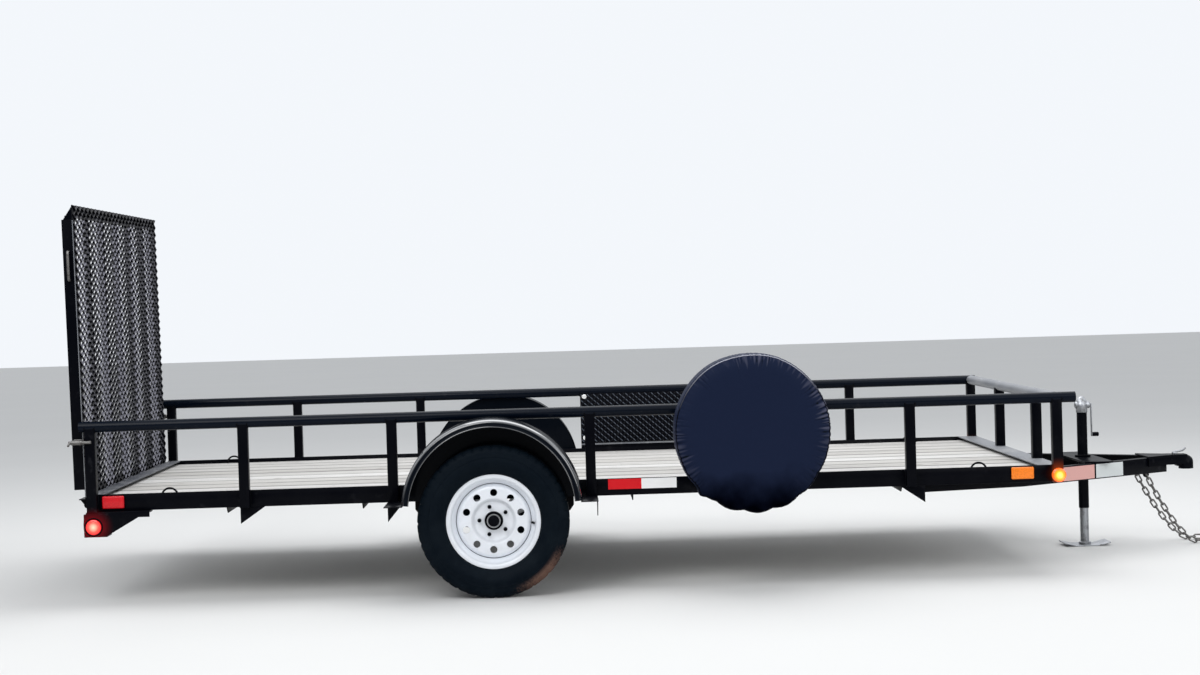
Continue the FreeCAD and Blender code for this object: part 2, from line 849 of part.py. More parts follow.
def tongue_rail():
    """A channel from the side rail to the coupler, its tail cut to the rail and tapered."""
    root, tip = tongue_direction()
    run = tip - root
    along = Vector(run).normalize()
    inward = Vector(along.y, -along.x, 0)
    start = root - along * 120
    length = run.Length + 120
    web = [
        (0, 0), (0, tongue_height), (tongue_flange, tongue_height),
        (tongue_flange, tongue_height - tongue_wall),
        (tongue_wall, tongue_height - tongue_wall), (tongue_wall, tongue_wall), (tongue_flange, tongue_wall),
        (tongue_flange, 0),
    ]
    points = [start + inward * u + Vector(0, 0, tongue_bottom + v) for u, v in web]
    face = Part.Face(Part.makePolygon(points + [points[0]]))
    rail = face.extrude(along * length)
    keep = box(tongue_root_x - 400, tongue_tip_x + 400, 1.0, leg_tip, tongue_bottom - 10, tongue_top + 10)
    rail = largest(rail.common(keep))
    taper = prism(
        [
            (tongue_root_x - 300, -10, tongue_bottom - 5),
            (tongue_root_x + tongue_tail_length, -10, tongue_bottom - 5),
            (tongue_root_x + tongue_tail_length, -10, tongue_bottom),
            (tongue_root_x - 300, -10, tongue_bottom + tongue_tail_rise),
        ],
        (0, 2 * rail_inner, 0),
    )
    return largest(rail.cut(taper))


def coupler():
    """A pressed coupler: a wedge shaped trough over the rail tips and the socket over the ball."""
    z_ball = coupler_ball_height()
    r = ball_radius + ball_clearance
    outer = r + socket_wall
    head = rod((coupler_x, 0, z_ball - socket_skirt), (coupler_x, 0, z_ball + 12), outer)
    dome = Part.makeSphere(outer, Vector(coupler_x, 0, z_ball + 8))
    dome = dome.common(box(coupler_x - 60, coupler_x + 60, -60, 60, z_ball + 8, z_ball + 60))
    low, top = tongue_top - coupler_skirt, tongue_top + coupler_gap
    shell = wedge(coupler_gap + coupler_wall, 0.0, outer - 4, low, top + coupler_wall)
    hollow = wedge(coupler_gap, 1.0, outer - 4 - coupler_wall, low - 1, top)
    neck = box(coupler_x - outer - 14, coupler_x, -24, 24, z_ball - 10, top + 2)
    body = shell.cut(hollow).fuse(head).fuse(dome).fuse(neck)
    socket = rod((coupler_x, 0, z_ball - 40), (coupler_x, 0, z_ball), r)
    socket = socket.fuse(Part.makeSphere(r, Vector(coupler_x, 0, z_ball)))
    return largest(body.cut(socket))


def wedge(offset, overrun, nose, low, high):
    """A block that follows the outsides of both rail tips at an offset and narrows to the ball."""
    root, tip = tongue_direction()
    slope = (root.y - tip.y) / (tip.x - root.x)
    spread = offset * math.sqrt(1 + slope ** 2)
    back_x = tip.x - coupler_overlap - overrun
    wide = tip.y + (tip.x - back_x) * slope + spread
    half = [(back_x, wide), (tip.x, tip.y + spread), (coupler_x, nose)]
    outline = [(x, y, low) for x, y in half] + [(x, -y, low) for x, y in reversed(half)]
    return prism(outline, (0, 0, high - low))


def coupler_ball_height():
    return tongue_bottom + 34.0


def coupler_latch():
    """The lever that locks the ball, bent up at its free end, on a foot over the coupler's neck."""
    z = tongue_top + coupler_wall + coupler_gap
    side_view = [(-66, 0), (-44, 0), (-42, 9), (-14, 13), (2, 27), (-2, 33), (-18, 21), (-50, 17), (-66, 12)]
    lever = prism([(coupler_x + x, -7, z + up) for x, up in side_view], (0, 14, 0))
    foot = box(coupler_x - 66, coupler_x - 46, -14, 14, z, z + 8)
    return lever.fuse(foot)


def jack():
    add("jack_mount", jack_plate())
    add("jack_tube", jack_tube())
    cap = rod((jack_x, 0, jack_tube_top), (jack_x, 0, jack_head_top - 20), jack_tube_radius + 3)
    dome = Part.makeCone(jack_tube_radius + 3, 12, 20, Vector(jack_x, 0, jack_head_top - 20))
    shaft_z = jack_head_top - jack_shaft_drop
    gear_box = rod((jack_x - 34, 0, shaft_z), (jack_x + 40, 0, shaft_z), 17)
    add("jack_head", cap.fuse(dome).fuse(gear_box))
    x = jack_x + 40
    near, far = x + 4, x + 4 + crank_arm_wall
    shaft = rod((x, 0, shaft_z), (far, 0, shaft_z), 7)
    arm = box(near, far, -crank_arm_width / 2, crank_arm_width / 2, crank_arm_bottom, shaft_z + 8)
    knob = rod((far, 0, crank_arm_bottom + 10), (far + crank_knob_length, 0, crank_arm_bottom + 10), 11)
    add("jack_crank", shaft.fuse(arm).fuse(knob))
    add("jack_leg", jack_leg())


def jack_plate():
    """The plate across both rails that the jack's collar sits on."""
    root, tip = tongue_direction()
    share = (jack_x - root.x) / (tip.x - root.x)
    reach = root.y + (tip.y - root.y) * share + 10
    low, high = tongue_top, tongue_top + jack_plate_wall
    plate = box(jack_x - jack_plate_half, jack_x + jack_plate_half, -reach, reach, low, high)
    return plate.cut(rod((jack_x, 0, low - 1), (jack_x, 0, high + 1), jack_tube_radius + 0.3))


def jack_tube():
    tube = pipe((jack_x, 0, jack_tube_bottom), (jack_x, 0, jack_tube_top), jack_tube_radius, jack_tube_wall)
    low = tongue_top + jack_plate_wall
    collar = pipe((jack_x, 0, low), (jack_x, 0, low + jack_collar_height), jack_tube_radius + 14, 15)
    return tube.fuse(collar)


def jack_leg():
    """The inner tube on a foot plate with raised ends."""
    base = jack_foot_wall
    leg = pipe((jack_x, 0, base), (jack_x, 0, jack_leg_top), jack_leg_radius, jack_leg_wall)
    flat, end = jack_foot_flat / 2, jack_foot_length / 2
    low = [(-end, jack_foot_rise), (-flat, 0), (flat, 0), (end, jack_foot_rise)]
    outline = low + [(x, z + jack_foot_wall) for x, z in reversed(low)]
    foot = prism([(jack_x + x, -jack_foot_width / 2, z) for x, z in outline], (0, jack_foot_width, 0))
    cup = pipe((jack_x, 0, base), (jack_x, 0, base + jack_cup_height), jack_leg_radius + 9, 10)
    return leg.fuse(foot).fuse(cup)


def tail_lights():
    """A light box under each rear corner with a tapered bracket, its rear and side lenses apart."""
    top = frame_bottom - tail_drop
    low = top - tail_box
    y0, y1 = frame_side - tail_inner, post_outer - tail_outer_inset
    x0 = bed_rear - tail_setback
    x1 = x0 + tail_box
    tip = x1 + tail_plate_reach
    shell = box(x0, x1, y0, y1, low, top)
    shell = shell.fuse(box(x0 + 20, x1, y0 + 20, y0 + 26, top, frame_bottom))
    plate_y = y1 - tail_plate - 3
    bracket = prism(
        [
            (x1, plate_y, top), (x1, plate_y, low + 4),
            (x1 + 0.74 * tail_plate_reach, plate_y, top - 2 * tail_drop),
            (tip, plate_y, top - 2 * tail_drop), (tip, plate_y, top),
        ],
        (0, tail_plate, 0),
    )
    shelf = box(bed_rear - 6, tip, frame_side - 40, y1 - 3, top, frame_bottom)
    both_sides("tail_light", [shell.fuse(bracket).fuse(shelf).removeSplitter()])
    middle = low + tail_box / 2
    rear = rod((x0 - 4, (y0 + y1) / 2, middle), (x0, (y0 + y1) / 2, middle), rear_lens_radius)
    side_lens = rod((x0 + tail_box / 2, y1, middle), (x0 + tail_box / 2, y1 + 8, middle), side_lens_radius)
    marker_x = bed_rear + marker_setback
    marker_y = frame_side + marker_wall
    side_marker = box(marker_x, marker_x + marker_length, frame_side, marker_y, frame_bottom + 12, frame_top - 8)
    lenses = []
    for solid in (rear, side_lens, side_marker):
        lenses += [solid, mirrored(solid)]
    add("red_lenses", lenses)


def amber_lights():
    """Amber reflectors on the side rails and round lamps on the front corners."""
    end = bed_front - amber_setback
    flat = box(end - amber_length, end, frame_side, frame_side + marker_wall, frame_bottom + 16, frame_top - 6)
    lamp = rod((front_rail_x(), post_outer, corner_lamp_height),
               (front_rail_x(), post_outer + corner_lamp_length, corner_lamp_height), corner_lamp_radius)
    add("amber_lenses", [flat, mirrored(flat), lamp, mirrored(lamp)])


def gussets():
    """Triangular plates under the side rails."""
    plate = gusset_wall
    result = []
    rear_x = post_stations[1] + rear_gusset_offset
    for x, run in ((rear_x, gusset_run), (bed_front - front_gusset_setback, -gusset_run)):
        tri = prism(
            [
                (x, frame_side - plate - 4, frame_bottom), (x + run, frame_side - plate - 4, frame_bottom),
                (x, frame_side - plate - 4, frame_bottom - gusset_drop),
            ],
            (0, plate, 0),
        )
        result += [tri, mirrored(tri)]
    return result


def tie_loops():
    """Half rings of bar standing on the deck edges."""
    result = []
    for x in tie_stations:
        for side in (-1, 1):
            y = side * (rail_inner - tie_inset)
            outline = []
            for i in range(8):
                a = math.radians(45 * i + 22.5)
                rise = tie_radius + tie_bar * math.sin(a)
                outline.append(Vector(x, y + tie_bar * math.cos(a), deck_top + rise))
            face = Part.Face(Part.makePolygon(outline + [outline[0]]))
            face.rotate(Vector(x, y, deck_top), Vector(0, 1, 0), -90)
            result.append(face.revolve(Vector(x, y, deck_top), Vector(0, 1, 0), 180))
    return result


def tread_panel():
    """A tread plate panel inside one bay of the left side, held by four bolts."""
    half = post_size / 2
    y = frame_side - 0.3
    low, high = frame_top + panel_rise, pipe_height - panel_drop
    plate = box(post_stations[3] - half, post_stations[4] + half, y - panel_wall, y, low, high)
    for x in (post_stations[3], post_stations[4]):
        for z in (low + 26, high - 15):
            head = y - panel_wall - panel_bolt_length
            plate = plate.fuse(rod((x, head, z), (x, y - panel_wall, z), panel_bolt_radius))
    return plate


def spare_cover():
    """The fitted cover over the spare wheel, open at the back round its hem, and the wheel's mount."""
    centre = (spare_x, -spare_centre_side, spare_height)
    half = tyre_width / 2 + cover_gap
    r, t = cover_radius, cover_wall
    face, hem = cover_face_radius, cover_opening_radius
    outline = [
        (-half - t, 0.0), (-half - t, face), (-half + 20, r), (half - 20, r), (half + t, face), (half + t, hem),
        (half, hem), (half, face - 2), (half - 22, r - t), (-half + 22, r - t), (-half, face - 2), (-half, 0.0),
    ]
    add("spare_cover", revolved(outline, centre))
    disc_y = -(spare_centre_side + rim_half_width - hub_face_inset - disc_wall)
    reach, arm_half = mount_plate_half, mount_arm_half
    z0, z1 = spare_height - reach, spare_height + reach
    plate = box(spare_x - reach, spare_x + reach, disc_y + 0.3, disc_y + 8, z0, z1)
    half_post = post_size / 2
    arm = box(post_stations[4] - half_post, post_stations[4] + half_post, disc_y + 8, -post_outer,
              spare_height - arm_half, spare_height + arm_half)
    add("spare_mount", plate.fuse(arm))


def chain_path(side):
    """Places of the link centres: down from the tongue in a curve, then along the ground."""
    root, tip = tongue_direction()
    share = 1 - chain_setback / (tip.x - root.x)
    flange_mid = root.y + (tip.y - root.y) * share - tongue_flange / 2
    start = Vector(tip.x - chain_setback, side * flange_mid, tongue_bottom - 10)
    ground = chain_wire / 2 + chain_inner_width / 2 + chain_wire / 2 + 1.0
    drop = start.z - ground
    samples = []
    steps = 400
    for i in range(steps + 1):
        u = i / steps
        y = start.y - side * chain_inward * u
        samples.append(Vector(start.x + chain_reach * u, y, ground + drop * (1 - u) ** 1.5))
    last = samples[-1]
    for i in range(1, steps + 1):
        s = i * 0.9
        samples.append(Vector(last.x + s, last.y - side * (0.10 * s + 0.0002 * s * s), ground))
    return samples


def chain_anchor(side):
    """A bow welded under the tongue flange, which the first link of a chain hangs in."""
    path = chain_path(side)
    along = (path[1] - path[0]).normalize()
    pitch = chain_inner_length - chain_slack
    link = chain_link(path[0] - along * (pitch / 2), along, 1)
    below = box(path[0].x - 60, path[0].x + 60, path[0].y - 60, path[0].y + 60, path[0].z - 60, tongue_bottom)
    return link.common(below)


def chain_links(side):
    pitch = chain_inner_length - chain_slack
    samples = chain_path(side)
    places = [samples[0]]
    travelled = 0.0
    goal = pitch
    for a, b in zip(samples, samples[1:]):
        step = (b - a).Length
        while travelled + step >= goal and len(places) <= chain_link_count:
            places.append(a + (b - a) * ((goal - travelled) / step))
            goal += pitch
        travelled += step
    result = []
    for i, (a, b) in enumerate(zip(places, places[1:])):
        result.append(chain_link((a + b) * 0.5, b - a, i % 2))
    return result


def chain_link(centre, tangent, turned):
    """A link with flat sides and cut corners, as thick as its wire."""
    half_length = chain_inner_length / 2
    half_width = chain_inner_width / 2
    outer = link_outline(half_length + chain_wire, half_width + chain_wire, chain_wire)
    inner = link_outline(half_length, half_width, half_width - chain_wire / 2 - 0.4)
    link = outer.cut(inner)
    link.rotate(Vector(0, 0, 0), Vector(1, 0, 0), 90 * turned)
    turn = FreeCAD.Rotation(Vector(1, 0, 0), Vector(tangent).normalize())
    link.Placement = FreeCAD.Placement(centre, turn).multiply(link.Placement)
    return link


def link_outline(half_length, half_width, corner):
    """A block as deep as the wire, with its four long corners cut off."""
    x, y = half_length - corner, half_width - corner
    outline = []
    for side_x, side_y in ((1, 1), (-1, 1), (-1, -1), (1, -1)):
        along = [(side_x * half_length, side_y * y), (side_x * x, side_y * half_width)]
        outline += along if side_x == side_y else along[::-1]
    return prism([(a, b, -chain_wire / 2) for a, b in outline], (0, 0, chain_wire))


def gate_latches():
    """A spring bolt on each side of the gate that reaches past the outside of the rear post."""
    result = []
    z = latch_height
    arm_x = post_stations[0] - post_size / 2 - latch_clearance
    for side in (-1, 1):
        pin_y = side * (post_outer + latch_clearance + latch_pin_radius)
        y0, y1 = sorted((side * gate_half_width, pin_y))
        arm = box(arm_x - 16, arm_x - 10, y0, y1, z - 12, z + 12)
        foot = box(gate_back - gate_leg + 6, arm_x - 10,
                   *sorted((side * gate_half_width, side * (gate_half_width + 5))), z - 12, z + 12)
        barrel = rod((arm_x - 50, pin_y, z), (arm_x - 2, pin_y, z), latch_barrel_radius)
        pin = rod((arm_x - 62, pin_y, z), (arm_x + 38, pin_y, z), latch_pin_radius)
        grip = rod((arm_x - 58, pin_y, z), (arm_x - 58, pin_y + side * 26, z - 12), latch_pin_radius - 2)
        result.append(arm.fuse(foot).fuse(barrel).fuse(pin).fuse(grip))
    return result


def build():
    both_sides("frame_rail", side_rail())
    add("front_header", header(bed_front, -1, front_lip))
    add("rear_header", header(bed_rear, 1, rear_lip))
    add("crossmembers", [cross_member(x) for x in cross_stations()])
    add("deck_planks", boards())
    posts = side_posts()
    both_sides("posts", posts)
    add("posts_front", front_posts())
    add("top_rail_left", top_rail(1, 0.0))
    add("top_rail_right", top_rail(-1, rail_front_stub))
    add("front_top_rail", front_top_rail())
    wheels()
    add("axle", axle())
    both_sides("leaf_spring", leaf_spring())
    both_sides("spring_hangers", spring_hangers())
    both_sides("fender", fender())
    both_sides("fender_brackets", fender_brackets())
    gate()
    add("hinge_barrels", hinge_barrels())
    both_sides("tongue_rail", tongue_rail())
    add("coupler", coupler())
    add("coupler_latch", coupler_latch())
    jack()
    tail_lights()
    amber_lights()
    add("gussets", gussets())
    add("tie_loops", tie_loops())
    add("tread_panel", tread_panel())
    spare_cover()
    add("safety_chains", chain_links(-1) + chain_links(1))
    add("chain_anchors", [chain_anchor(-1), chain_anchor(1)])


def write():
    boxes = [s.BoundBox for solids in shapes.values() for s in solids]
    low = min(b.XMin for b in boxes)
    high = max(b.XMax for b in boxes)
    shift = Vector(-(low + high) / 2, 0, 0)
    print("origin is at x =", round((low + high) / 2, 3), "from", round(low, 3), "to", round(high, 3))
    os.makedirs("parts", exist_ok=True)
    for name, solids in shapes.items():
        moved = []
        for solid in solids:
            piece = solid.copy()
            piece.translate(shift)
            moved.append(piece)
        shape = moved[0] if len(moved) == 1 else Part.makeCompound(moved)
        shape.exportStep("parts/%s.step" % name)
        print(name, len(shape.Solids), shape.isValid(), round(shape.Volume / 1000.0, 1))


build()
write()
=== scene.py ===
import bpy
import bmesh
import math
from mathutils import Matrix, Vector, noise


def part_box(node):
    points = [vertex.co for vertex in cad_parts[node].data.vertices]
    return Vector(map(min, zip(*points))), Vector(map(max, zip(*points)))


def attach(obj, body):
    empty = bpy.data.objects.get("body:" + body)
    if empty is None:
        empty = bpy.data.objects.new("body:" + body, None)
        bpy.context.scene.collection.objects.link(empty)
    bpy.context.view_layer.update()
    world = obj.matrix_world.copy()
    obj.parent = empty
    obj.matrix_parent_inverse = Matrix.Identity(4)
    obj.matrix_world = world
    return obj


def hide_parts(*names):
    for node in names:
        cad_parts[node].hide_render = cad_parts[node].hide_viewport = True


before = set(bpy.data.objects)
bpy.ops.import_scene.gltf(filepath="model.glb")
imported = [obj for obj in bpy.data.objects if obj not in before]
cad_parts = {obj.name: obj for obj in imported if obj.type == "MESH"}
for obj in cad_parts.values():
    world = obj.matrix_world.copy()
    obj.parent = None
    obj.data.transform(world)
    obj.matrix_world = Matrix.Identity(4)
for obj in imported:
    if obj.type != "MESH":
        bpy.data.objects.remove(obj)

scene = bpy.context.scene
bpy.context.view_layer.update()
bothSides = (("left", 1), ("right", -1))

tyreLow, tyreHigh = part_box("tyre_left")
axleX = (tyreLow.x + tyreHigh.x) / 2


def at(x, y, z):  # millimetres from the wheel axis, left side +Y, up from the ground
    return Vector((axleX + x / 1000, y / 1000, z / 1000))


def newObject(name, data):
    made = bpy.data.objects.new(name, data)
    scene.collection.objects.link(made)
    return made


# camera
cameraValues = {
    "place": (318.1, -10603.9, 1318.4),
    "yaw": -0.0184,
    "pitch": -0.0202,
    "roll": -0.0299,
    "lens": 64.35,
    "sensor": 36,
    "farEnd": 200,
}


def makeCamera(values):
    yaw, pitch, roll = values["yaw"], values["pitch"], values["roll"]
    ahead = Vector((-math.cos(pitch) * math.sin(yaw), math.cos(pitch) * math.cos(yaw), math.sin(pitch)))
    level = Vector((math.cos(yaw), math.sin(yaw), 0))
    upright = level.cross(ahead)
    right = level * math.cos(roll) + upright * math.sin(roll)
    up = upright * math.cos(roll) - level * math.sin(roll)
    data = bpy.data.cameras.new("photoCamera")
    data.lens = values["lens"]
    data.sensor_width = values["sensor"]
    data.clip_end = values["farEnd"]
    scene.camera = newObject("photoCamera", data)
    turn = Matrix((right, up, -ahead)).transposed()
    scene.camera.matrix_world = Matrix.Translation(at(*values["place"])) @ turn.to_4x4()


makeCamera(cameraValues)
print("camera set")


# node helpers: a value is a number, a colour of three or another node's socket
def isSocket(value):
    return isinstance(value, bpy.types.NodeSocket)


def feed(node, sockets):  # an underscore in a label stands for its space
    for key, value in sockets.items():
        target = node.inputs[key.replace("_", " ") if isinstance(key, str) else key]
        if isSocket(value):
            node.id_data.links.new(value, target)
        else:
            target.default_value = value


def put(tree, kind, sockets=None, **settings):
    made = tree.nodes.new(kind)
    for key, value in settings.items():
        setattr(made, key, value)
    feed(made, sockets or {})
    return made


def calc(tree, operation, first, *others):  # one operation, run on through all the values
    for other in others or (0.0,):
        first = put(tree, "ShaderNodeMath", {0: first, 1: other}, operation=operation).outputs[0]
    return first


def plus(tree, *values):
    return calc(tree, "ADD", *values)


def minus(tree, *values):
    return calc(tree, "SUBTRACT", *values)


def times(tree, *values):
    return calc(tree, "MULTIPLY", *values)


def ramp(tree, value, low, high, start=0.0, end=1.0):
    return put(tree, "ShaderNodeMapRange", {
        "Value": value, "From Min": low, "From Max": high, "To Min": start, "To Max": end,
    }, clamp=True).outputs["Result"]


def tint(tree, share, first, second):
    first, second = (value if isSocket(value) else (*value, 1) for value in (first, second))
    return put(tree, "ShaderNodeMix", {0: share, 6: first, 7: second}, data_type="RGBA").outputs[2]


def noiseAt(tree, place, scale, detail, **more):
    return put(tree, "ShaderNodeTexNoise", {"Vector": place, "Scale": scale, "Detail": detail, **more}).outputs["Fac"]


def cellsAt(tree, place, scale, **more):
    return put(tree, "ShaderNodeTexVoronoi", {"Vector": place, "Scale": scale, **more}).outputs["Distance"]


def axesOf(tree, place):
    return put(tree, "ShaderNodeSeparateXYZ", {0: place}).outputs


def vectorFrom(tree, **axes):
    return put(tree, "ShaderNodeCombineXYZ", axes).outputs[0]


def apart(tree, first, second):
    return put(tree, "ShaderNodeVectorMath", {0: first, 1: second}, operation="DISTANCE").outputs["Value"]


def fromAxle(tree, axes, centre):  # how far a place is from a line across the trailer
    return apart(tree, vectorFrom(tree, X=axes["X"], Z=axes["Z"]), centre)


def carried(tree, label):  # a value that the mesh carries
    return put(tree, "ShaderNodeAttribute", attribute_name=label).outputs["Fac"]


def bump(tree, height, strength, distance):
    made = put(tree, "ShaderNodeBump", {"Strength": strength, "Distance": distance, "Height": height})
    return made.outputs["Normal"]


def addInputs(tree, inputs):  # a whole number makes an integer input, three numbers or none a vector
    kinds = {int: "Int", float: "Float", tuple: "Vector", type(None): "Vector"}
    for label, value in inputs.items():
        socket = tree.interface.new_socket(label, in_out="INPUT", socket_type="NodeSocket" + kinds[type(value)])
        if value is not None:
            socket.default_value = value


# shader groups
def newGroup(name, inputs, *outputs):
    group = bpy.data.node_groups.new(name, "ShaderNodeTree")
    addInputs(group, inputs)
    for label in outputs:
        group.interface.new_socket(label, in_out="OUTPUT", socket_type="NodeSocketFloat")
    return group, group.nodes.new("NodeGroupInput").outputs, group.nodes.new("NodeGroupOutput")


def paintRippleGroup():  # the fine orange peel and long waves of a sprayed coat
    group, given, result = newGroup("paintRipple", {
        "Place": None, "Grain Scale": 900.0, "Wave Scale": 14.0, "Wave Share": 0.6,
    }, "Height")
    grain = noiseAt(group, given["Place"], given["Grain Scale"], 2.0)
    wave = noiseAt(group, given["Place"], given["Wave Scale"], 1.0)
    feed(result, {"Height": plus(group, grain, times(group, wave, given["Wave Share"]))})
    return group


def roadDustGroup():  # dust that thins out with height, in patches
    group, given, result = newGroup("roadDust", {
        "Place": None, "Clean Height": 0.9, "Dusty Height": 0.1, "Patch Scale": 6.0, "Amount": 0.5,
    }, "Mask")
    height = axesOf(group, given["Place"])["Z"]
    heightRamp = ramp(group, height, given["Clean Height"], given["Dusty Height"])
    patch = noiseAt(group, given["Place"], given["Patch Scale"], 6.0, Roughness=0.65)
    feed(result, {"Mask": times(group, heightRamp, ramp(group, patch, 0.38, 0.72), given["Amount"])})
    return group


def scuffGroup():  # thin marks that run mostly one way
    group, given, result = newGroup("scuffs", {"Place": None, "Stretch": (4.0, 4.0, 60.0), "Share": 0.3}, "Mask")
    pulled = put(group, "ShaderNodeVectorMath", {0: given["Place"], 1: given["Stretch"]}, operation="MULTIPLY")
    marks = noiseAt(group, pulled.outputs[0], 3.0, 5.0)
    where = noiseAt(group, given["Place"], 3.5, 2.0)
    sharp = times(group, ramp(group, marks, 0.6, 0.7), ramp(group, where, 0.45, 0.65))
    feed(result, {"Mask": times(group, sharp, given["Share"])})
    return group


def mudGroup():  # dried mud round one place
    group, given, result = newGroup("driedMud", {
        "Place": None, "Centre": (0.0, 0.0, 0.0), "Reach": 0.2, "Speck Scale": 45.0,
    }, "Mask")
    near = ramp(group, apart(group, given["Place"], given["Centre"]), given["Reach"], 0.0)
    speck = noiseAt(group, given["Place"], given["Speck Scale"], 5.0)
    feed(result, {"Mask": ramp(group, plus(group, near, times(group, speck, 0.9)), 0.72, 1.25)})
    return group


def boardGrainGroup():  # weathered boards: each its own shade, with long fibres, knots and grey streaks
    group, given, result = newGroup("boardGrain", {
        "Place": None, "Board Pitch": 0.2, "First Edge": 0.0, "Fibre Scale": 120.0,
    }, "Fibre", "Board Shade", "Streak", "Knot", "Edge")
    axes = axesOf(group, given["Place"])
    across = calc(group, "DIVIDE", minus(group, axes["Y"], given["First Edge"]), given["Board Pitch"])
    number = put(group, "ShaderNodeTexWhiteNoise", {"W": calc(group, "FLOOR", across)}, noise_dimensions="1D")
    shade = number.outputs["Value"]
    fromMiddle = calc(group, "ABSOLUTE", minus(group, calc(group, "FRACT", across), 0.5))
    away = times(group, shade, 7.0)  # slides the grain of each board along by its own amount
    along = plus(group, axes["X"], away)
    pulled = vectorFrom(group, X=times(group, along, 0.035), Y=axes["Y"], Z=axes["Z"])
    fibre = noiseAt(group, pulled, given["Fibre Scale"], 6.0, Roughness=0.6, Distortion=0.3)
    streak = noiseAt(group, pulled, 26.0, 3.0)
    knots = cellsAt(group, vectorFrom(group, X=times(group, along, 0.55), Y=axes["Y"], Z=away), 5.0)
    # the dark band along each board's edges is partly dirt and partly painted shadow in the gaps; this noise makes
    # its edge wander
    dirtAndShadeWobble = times(group, minus(group, streak, 0.5), 0.16)
    feed(result, {
        "Fibre": fibre, "Board Shade": shade, "Streak": streak, "Knot": ramp(group, knots, 0.09, 0.03),
        "Edge": ramp(group, plus(group, fromMiddle, dirtAndShadeWobble), 0.38, 0.47),
    })
    return group


paintRipple = paintRippleGroup()
roadDust = roadDustGroup()
scuffs = scuffGroup()
driedMud = mudGroup()
boardGrain = boardGrainGroup()
print("shader groups built")


# materials
def partsOf(material):
    tree = material.node_tree
    return tree, tree.nodes["Principled BSDF"], tree.nodes["Texture Coordinate"].outputs["Object"]


def newMaterial(name, **plain):
    material = bpy.data.materials.new(name)
    material.use_nodes = True
    put(material.node_tree, "ShaderNodeTexCoord")
    feed(partsOf(material)[1], plain)
    return material, *partsOf(material)


def useGroup(tree, group, **sockets):
    return put(tree, "ShaderNodeGroup", sockets, node_tree=group).outputs


blackPaint = {  # what every painted piece starts from
    "colour": (0.0013, 0.0016, 0.0034), "underCoat": (0.030, 0.031, 0.036), "dustColour": (0.030, 0.031, 0.034),
    "rough": 0.30, "dusty": 0.85, "sheen": 0.03, "coat": 0.025, "coatRough": 0.12, "coatIor": 1.5, "dust": 0.12,
    "cleanAbove": 0.85, "dustyBelow": 0.1, "patch": 7.0, "scuff": 0.25, "scuffStretch": (10.0, 10.0, 10.0),
    "grain": 700.0, "wave": 16.0, "bump": 0.16,
}


def coatedPaint(name, **changes):
    look = {**blackPaint, **changes}
    material, tree, shader, place = newMaterial(
        name, Specular_IOR_Level=look["sheen"], Coat_Weight=look["coat"], Coat_Roughness=look["coatRough"],
        Coat_IOR=look["coatIor"])
    dust = useGroup(tree, roadDust, Place=place, Clean_Height=look["cleanAbove"], Dusty_Height=look["dustyBelow"],
                    Patch_Scale=look["patch"], Amount=look["dust"])["Mask"]
    scratch = useGroup(tree, scuffs, Place=place, Stretch=look["scuffStretch"], Share=look["scuff"])["Mask"]
    worn = tint(tree, scratch, look["colour"], look["underCoat"])
    if "glint" in look:  # painted highlight: strands and lozenges that the tree marked get a paler base colour, standing in for the sky's glint
        worn = tint(tree, carried(tree, "glint"), worn, look["glint"])
    ripple = useGroup(tree, paintRipple, Place=place, Grain_Scale=look["grain"], Wave_Scale=look["wave"])["Height"]
    feed(shader, {
        "Base Color": tint(tree, dust, worn, look["dustColour"]),
        "Roughness": ramp(tree, dust, 0.0, 1.0, look["rough"], look["dusty"]),
        "Normal": bump(tree, ripple, look["bump"], 0.001),
    })
    return material


def paintedLampLight(material, lamps):  # painted lamp light: the paint close to a lamp that is on is given an emission of the lamp's colour
    tree, shader, place = partsOf(material)
    axes = axesOf(tree, place)
    mirrored = vectorFrom(tree, X=axes["X"], Y=calc(tree, "ABSOLUTE", axes["Y"]), Z=axes["Z"])
    total = (0.0, 0.0, 0.0)
    for centre, reach, colour in lamps:
        near = ramp(tree, apart(tree, mirrored, at(*centre)), reach, 0.02)
        total = tint(tree, calc(tree, "POWER", near, 2.0), total, colour)
    feed(shader, {"Emission Color": total, "Emission Strength": 1.0})


def polishRoll(material, centre, radius, outside):
    # the fender's rolled outer shoulder and its bead shine; the rest of the sheet is a dull black
    tree, shader, place = partsOf(material)
    axes = axesOf(tree, place)
    away = fromAxle(tree, axes, centre)
    outer = ramp(tree, calc(tree, "ABSOLUTE", axes["Y"]), outside - 0.034, outside - 0.018)
    shoulder = times(tree, outer, ramp(tree, away, radius - 0.014, radius - 0.006))
    bead = times(tree, ramp(tree, away, radius - 0.0285, radius - 0.0295), 0.6, outer)
    feed(shader, {"Coat Weight": plus(tree, calc(tree, "MAXIMUM", shoulder, bead), 0.01)})


frameBlack = coatedPaint("frameBlack")
# painted light from the tail lamps and the front lamps on the frame's paint nearby
paintedLampLight(frameBlack, (
    ((-1787, 1030, 347), 0.095, (0.24, 0.003, 0.005)), ((-1832, 971, 353), 0.09, (0.24, 0.003, 0.005)),
    ((2535.75, 1045, 446), 0.085, (0.36, 0.050, 0.004)),
))
# black paint tinted blue: the blue is a painted reflection of the sky on the rails
railBlack = coatedPaint("railBlack", colour=(0.0018, 0.0040, 0.0095), rough=0.22, coat=0.12, dust=0.06)
fenderBlack = coatedPaint("fenderBlack", colour=(0.002, 0.0035, 0.0065), rough=0.28, coatRough=0.07, coatIor=2.5,
                          dust=0.08, wave=7.0, bump=0.05, scuff=0.04)
polishRoll(fenderBlack, at(-4, 0, 387), 0.398, 1.262)
gateBlack = coatedPaint("gateBlack", rough=0.25, scuff=0.15)
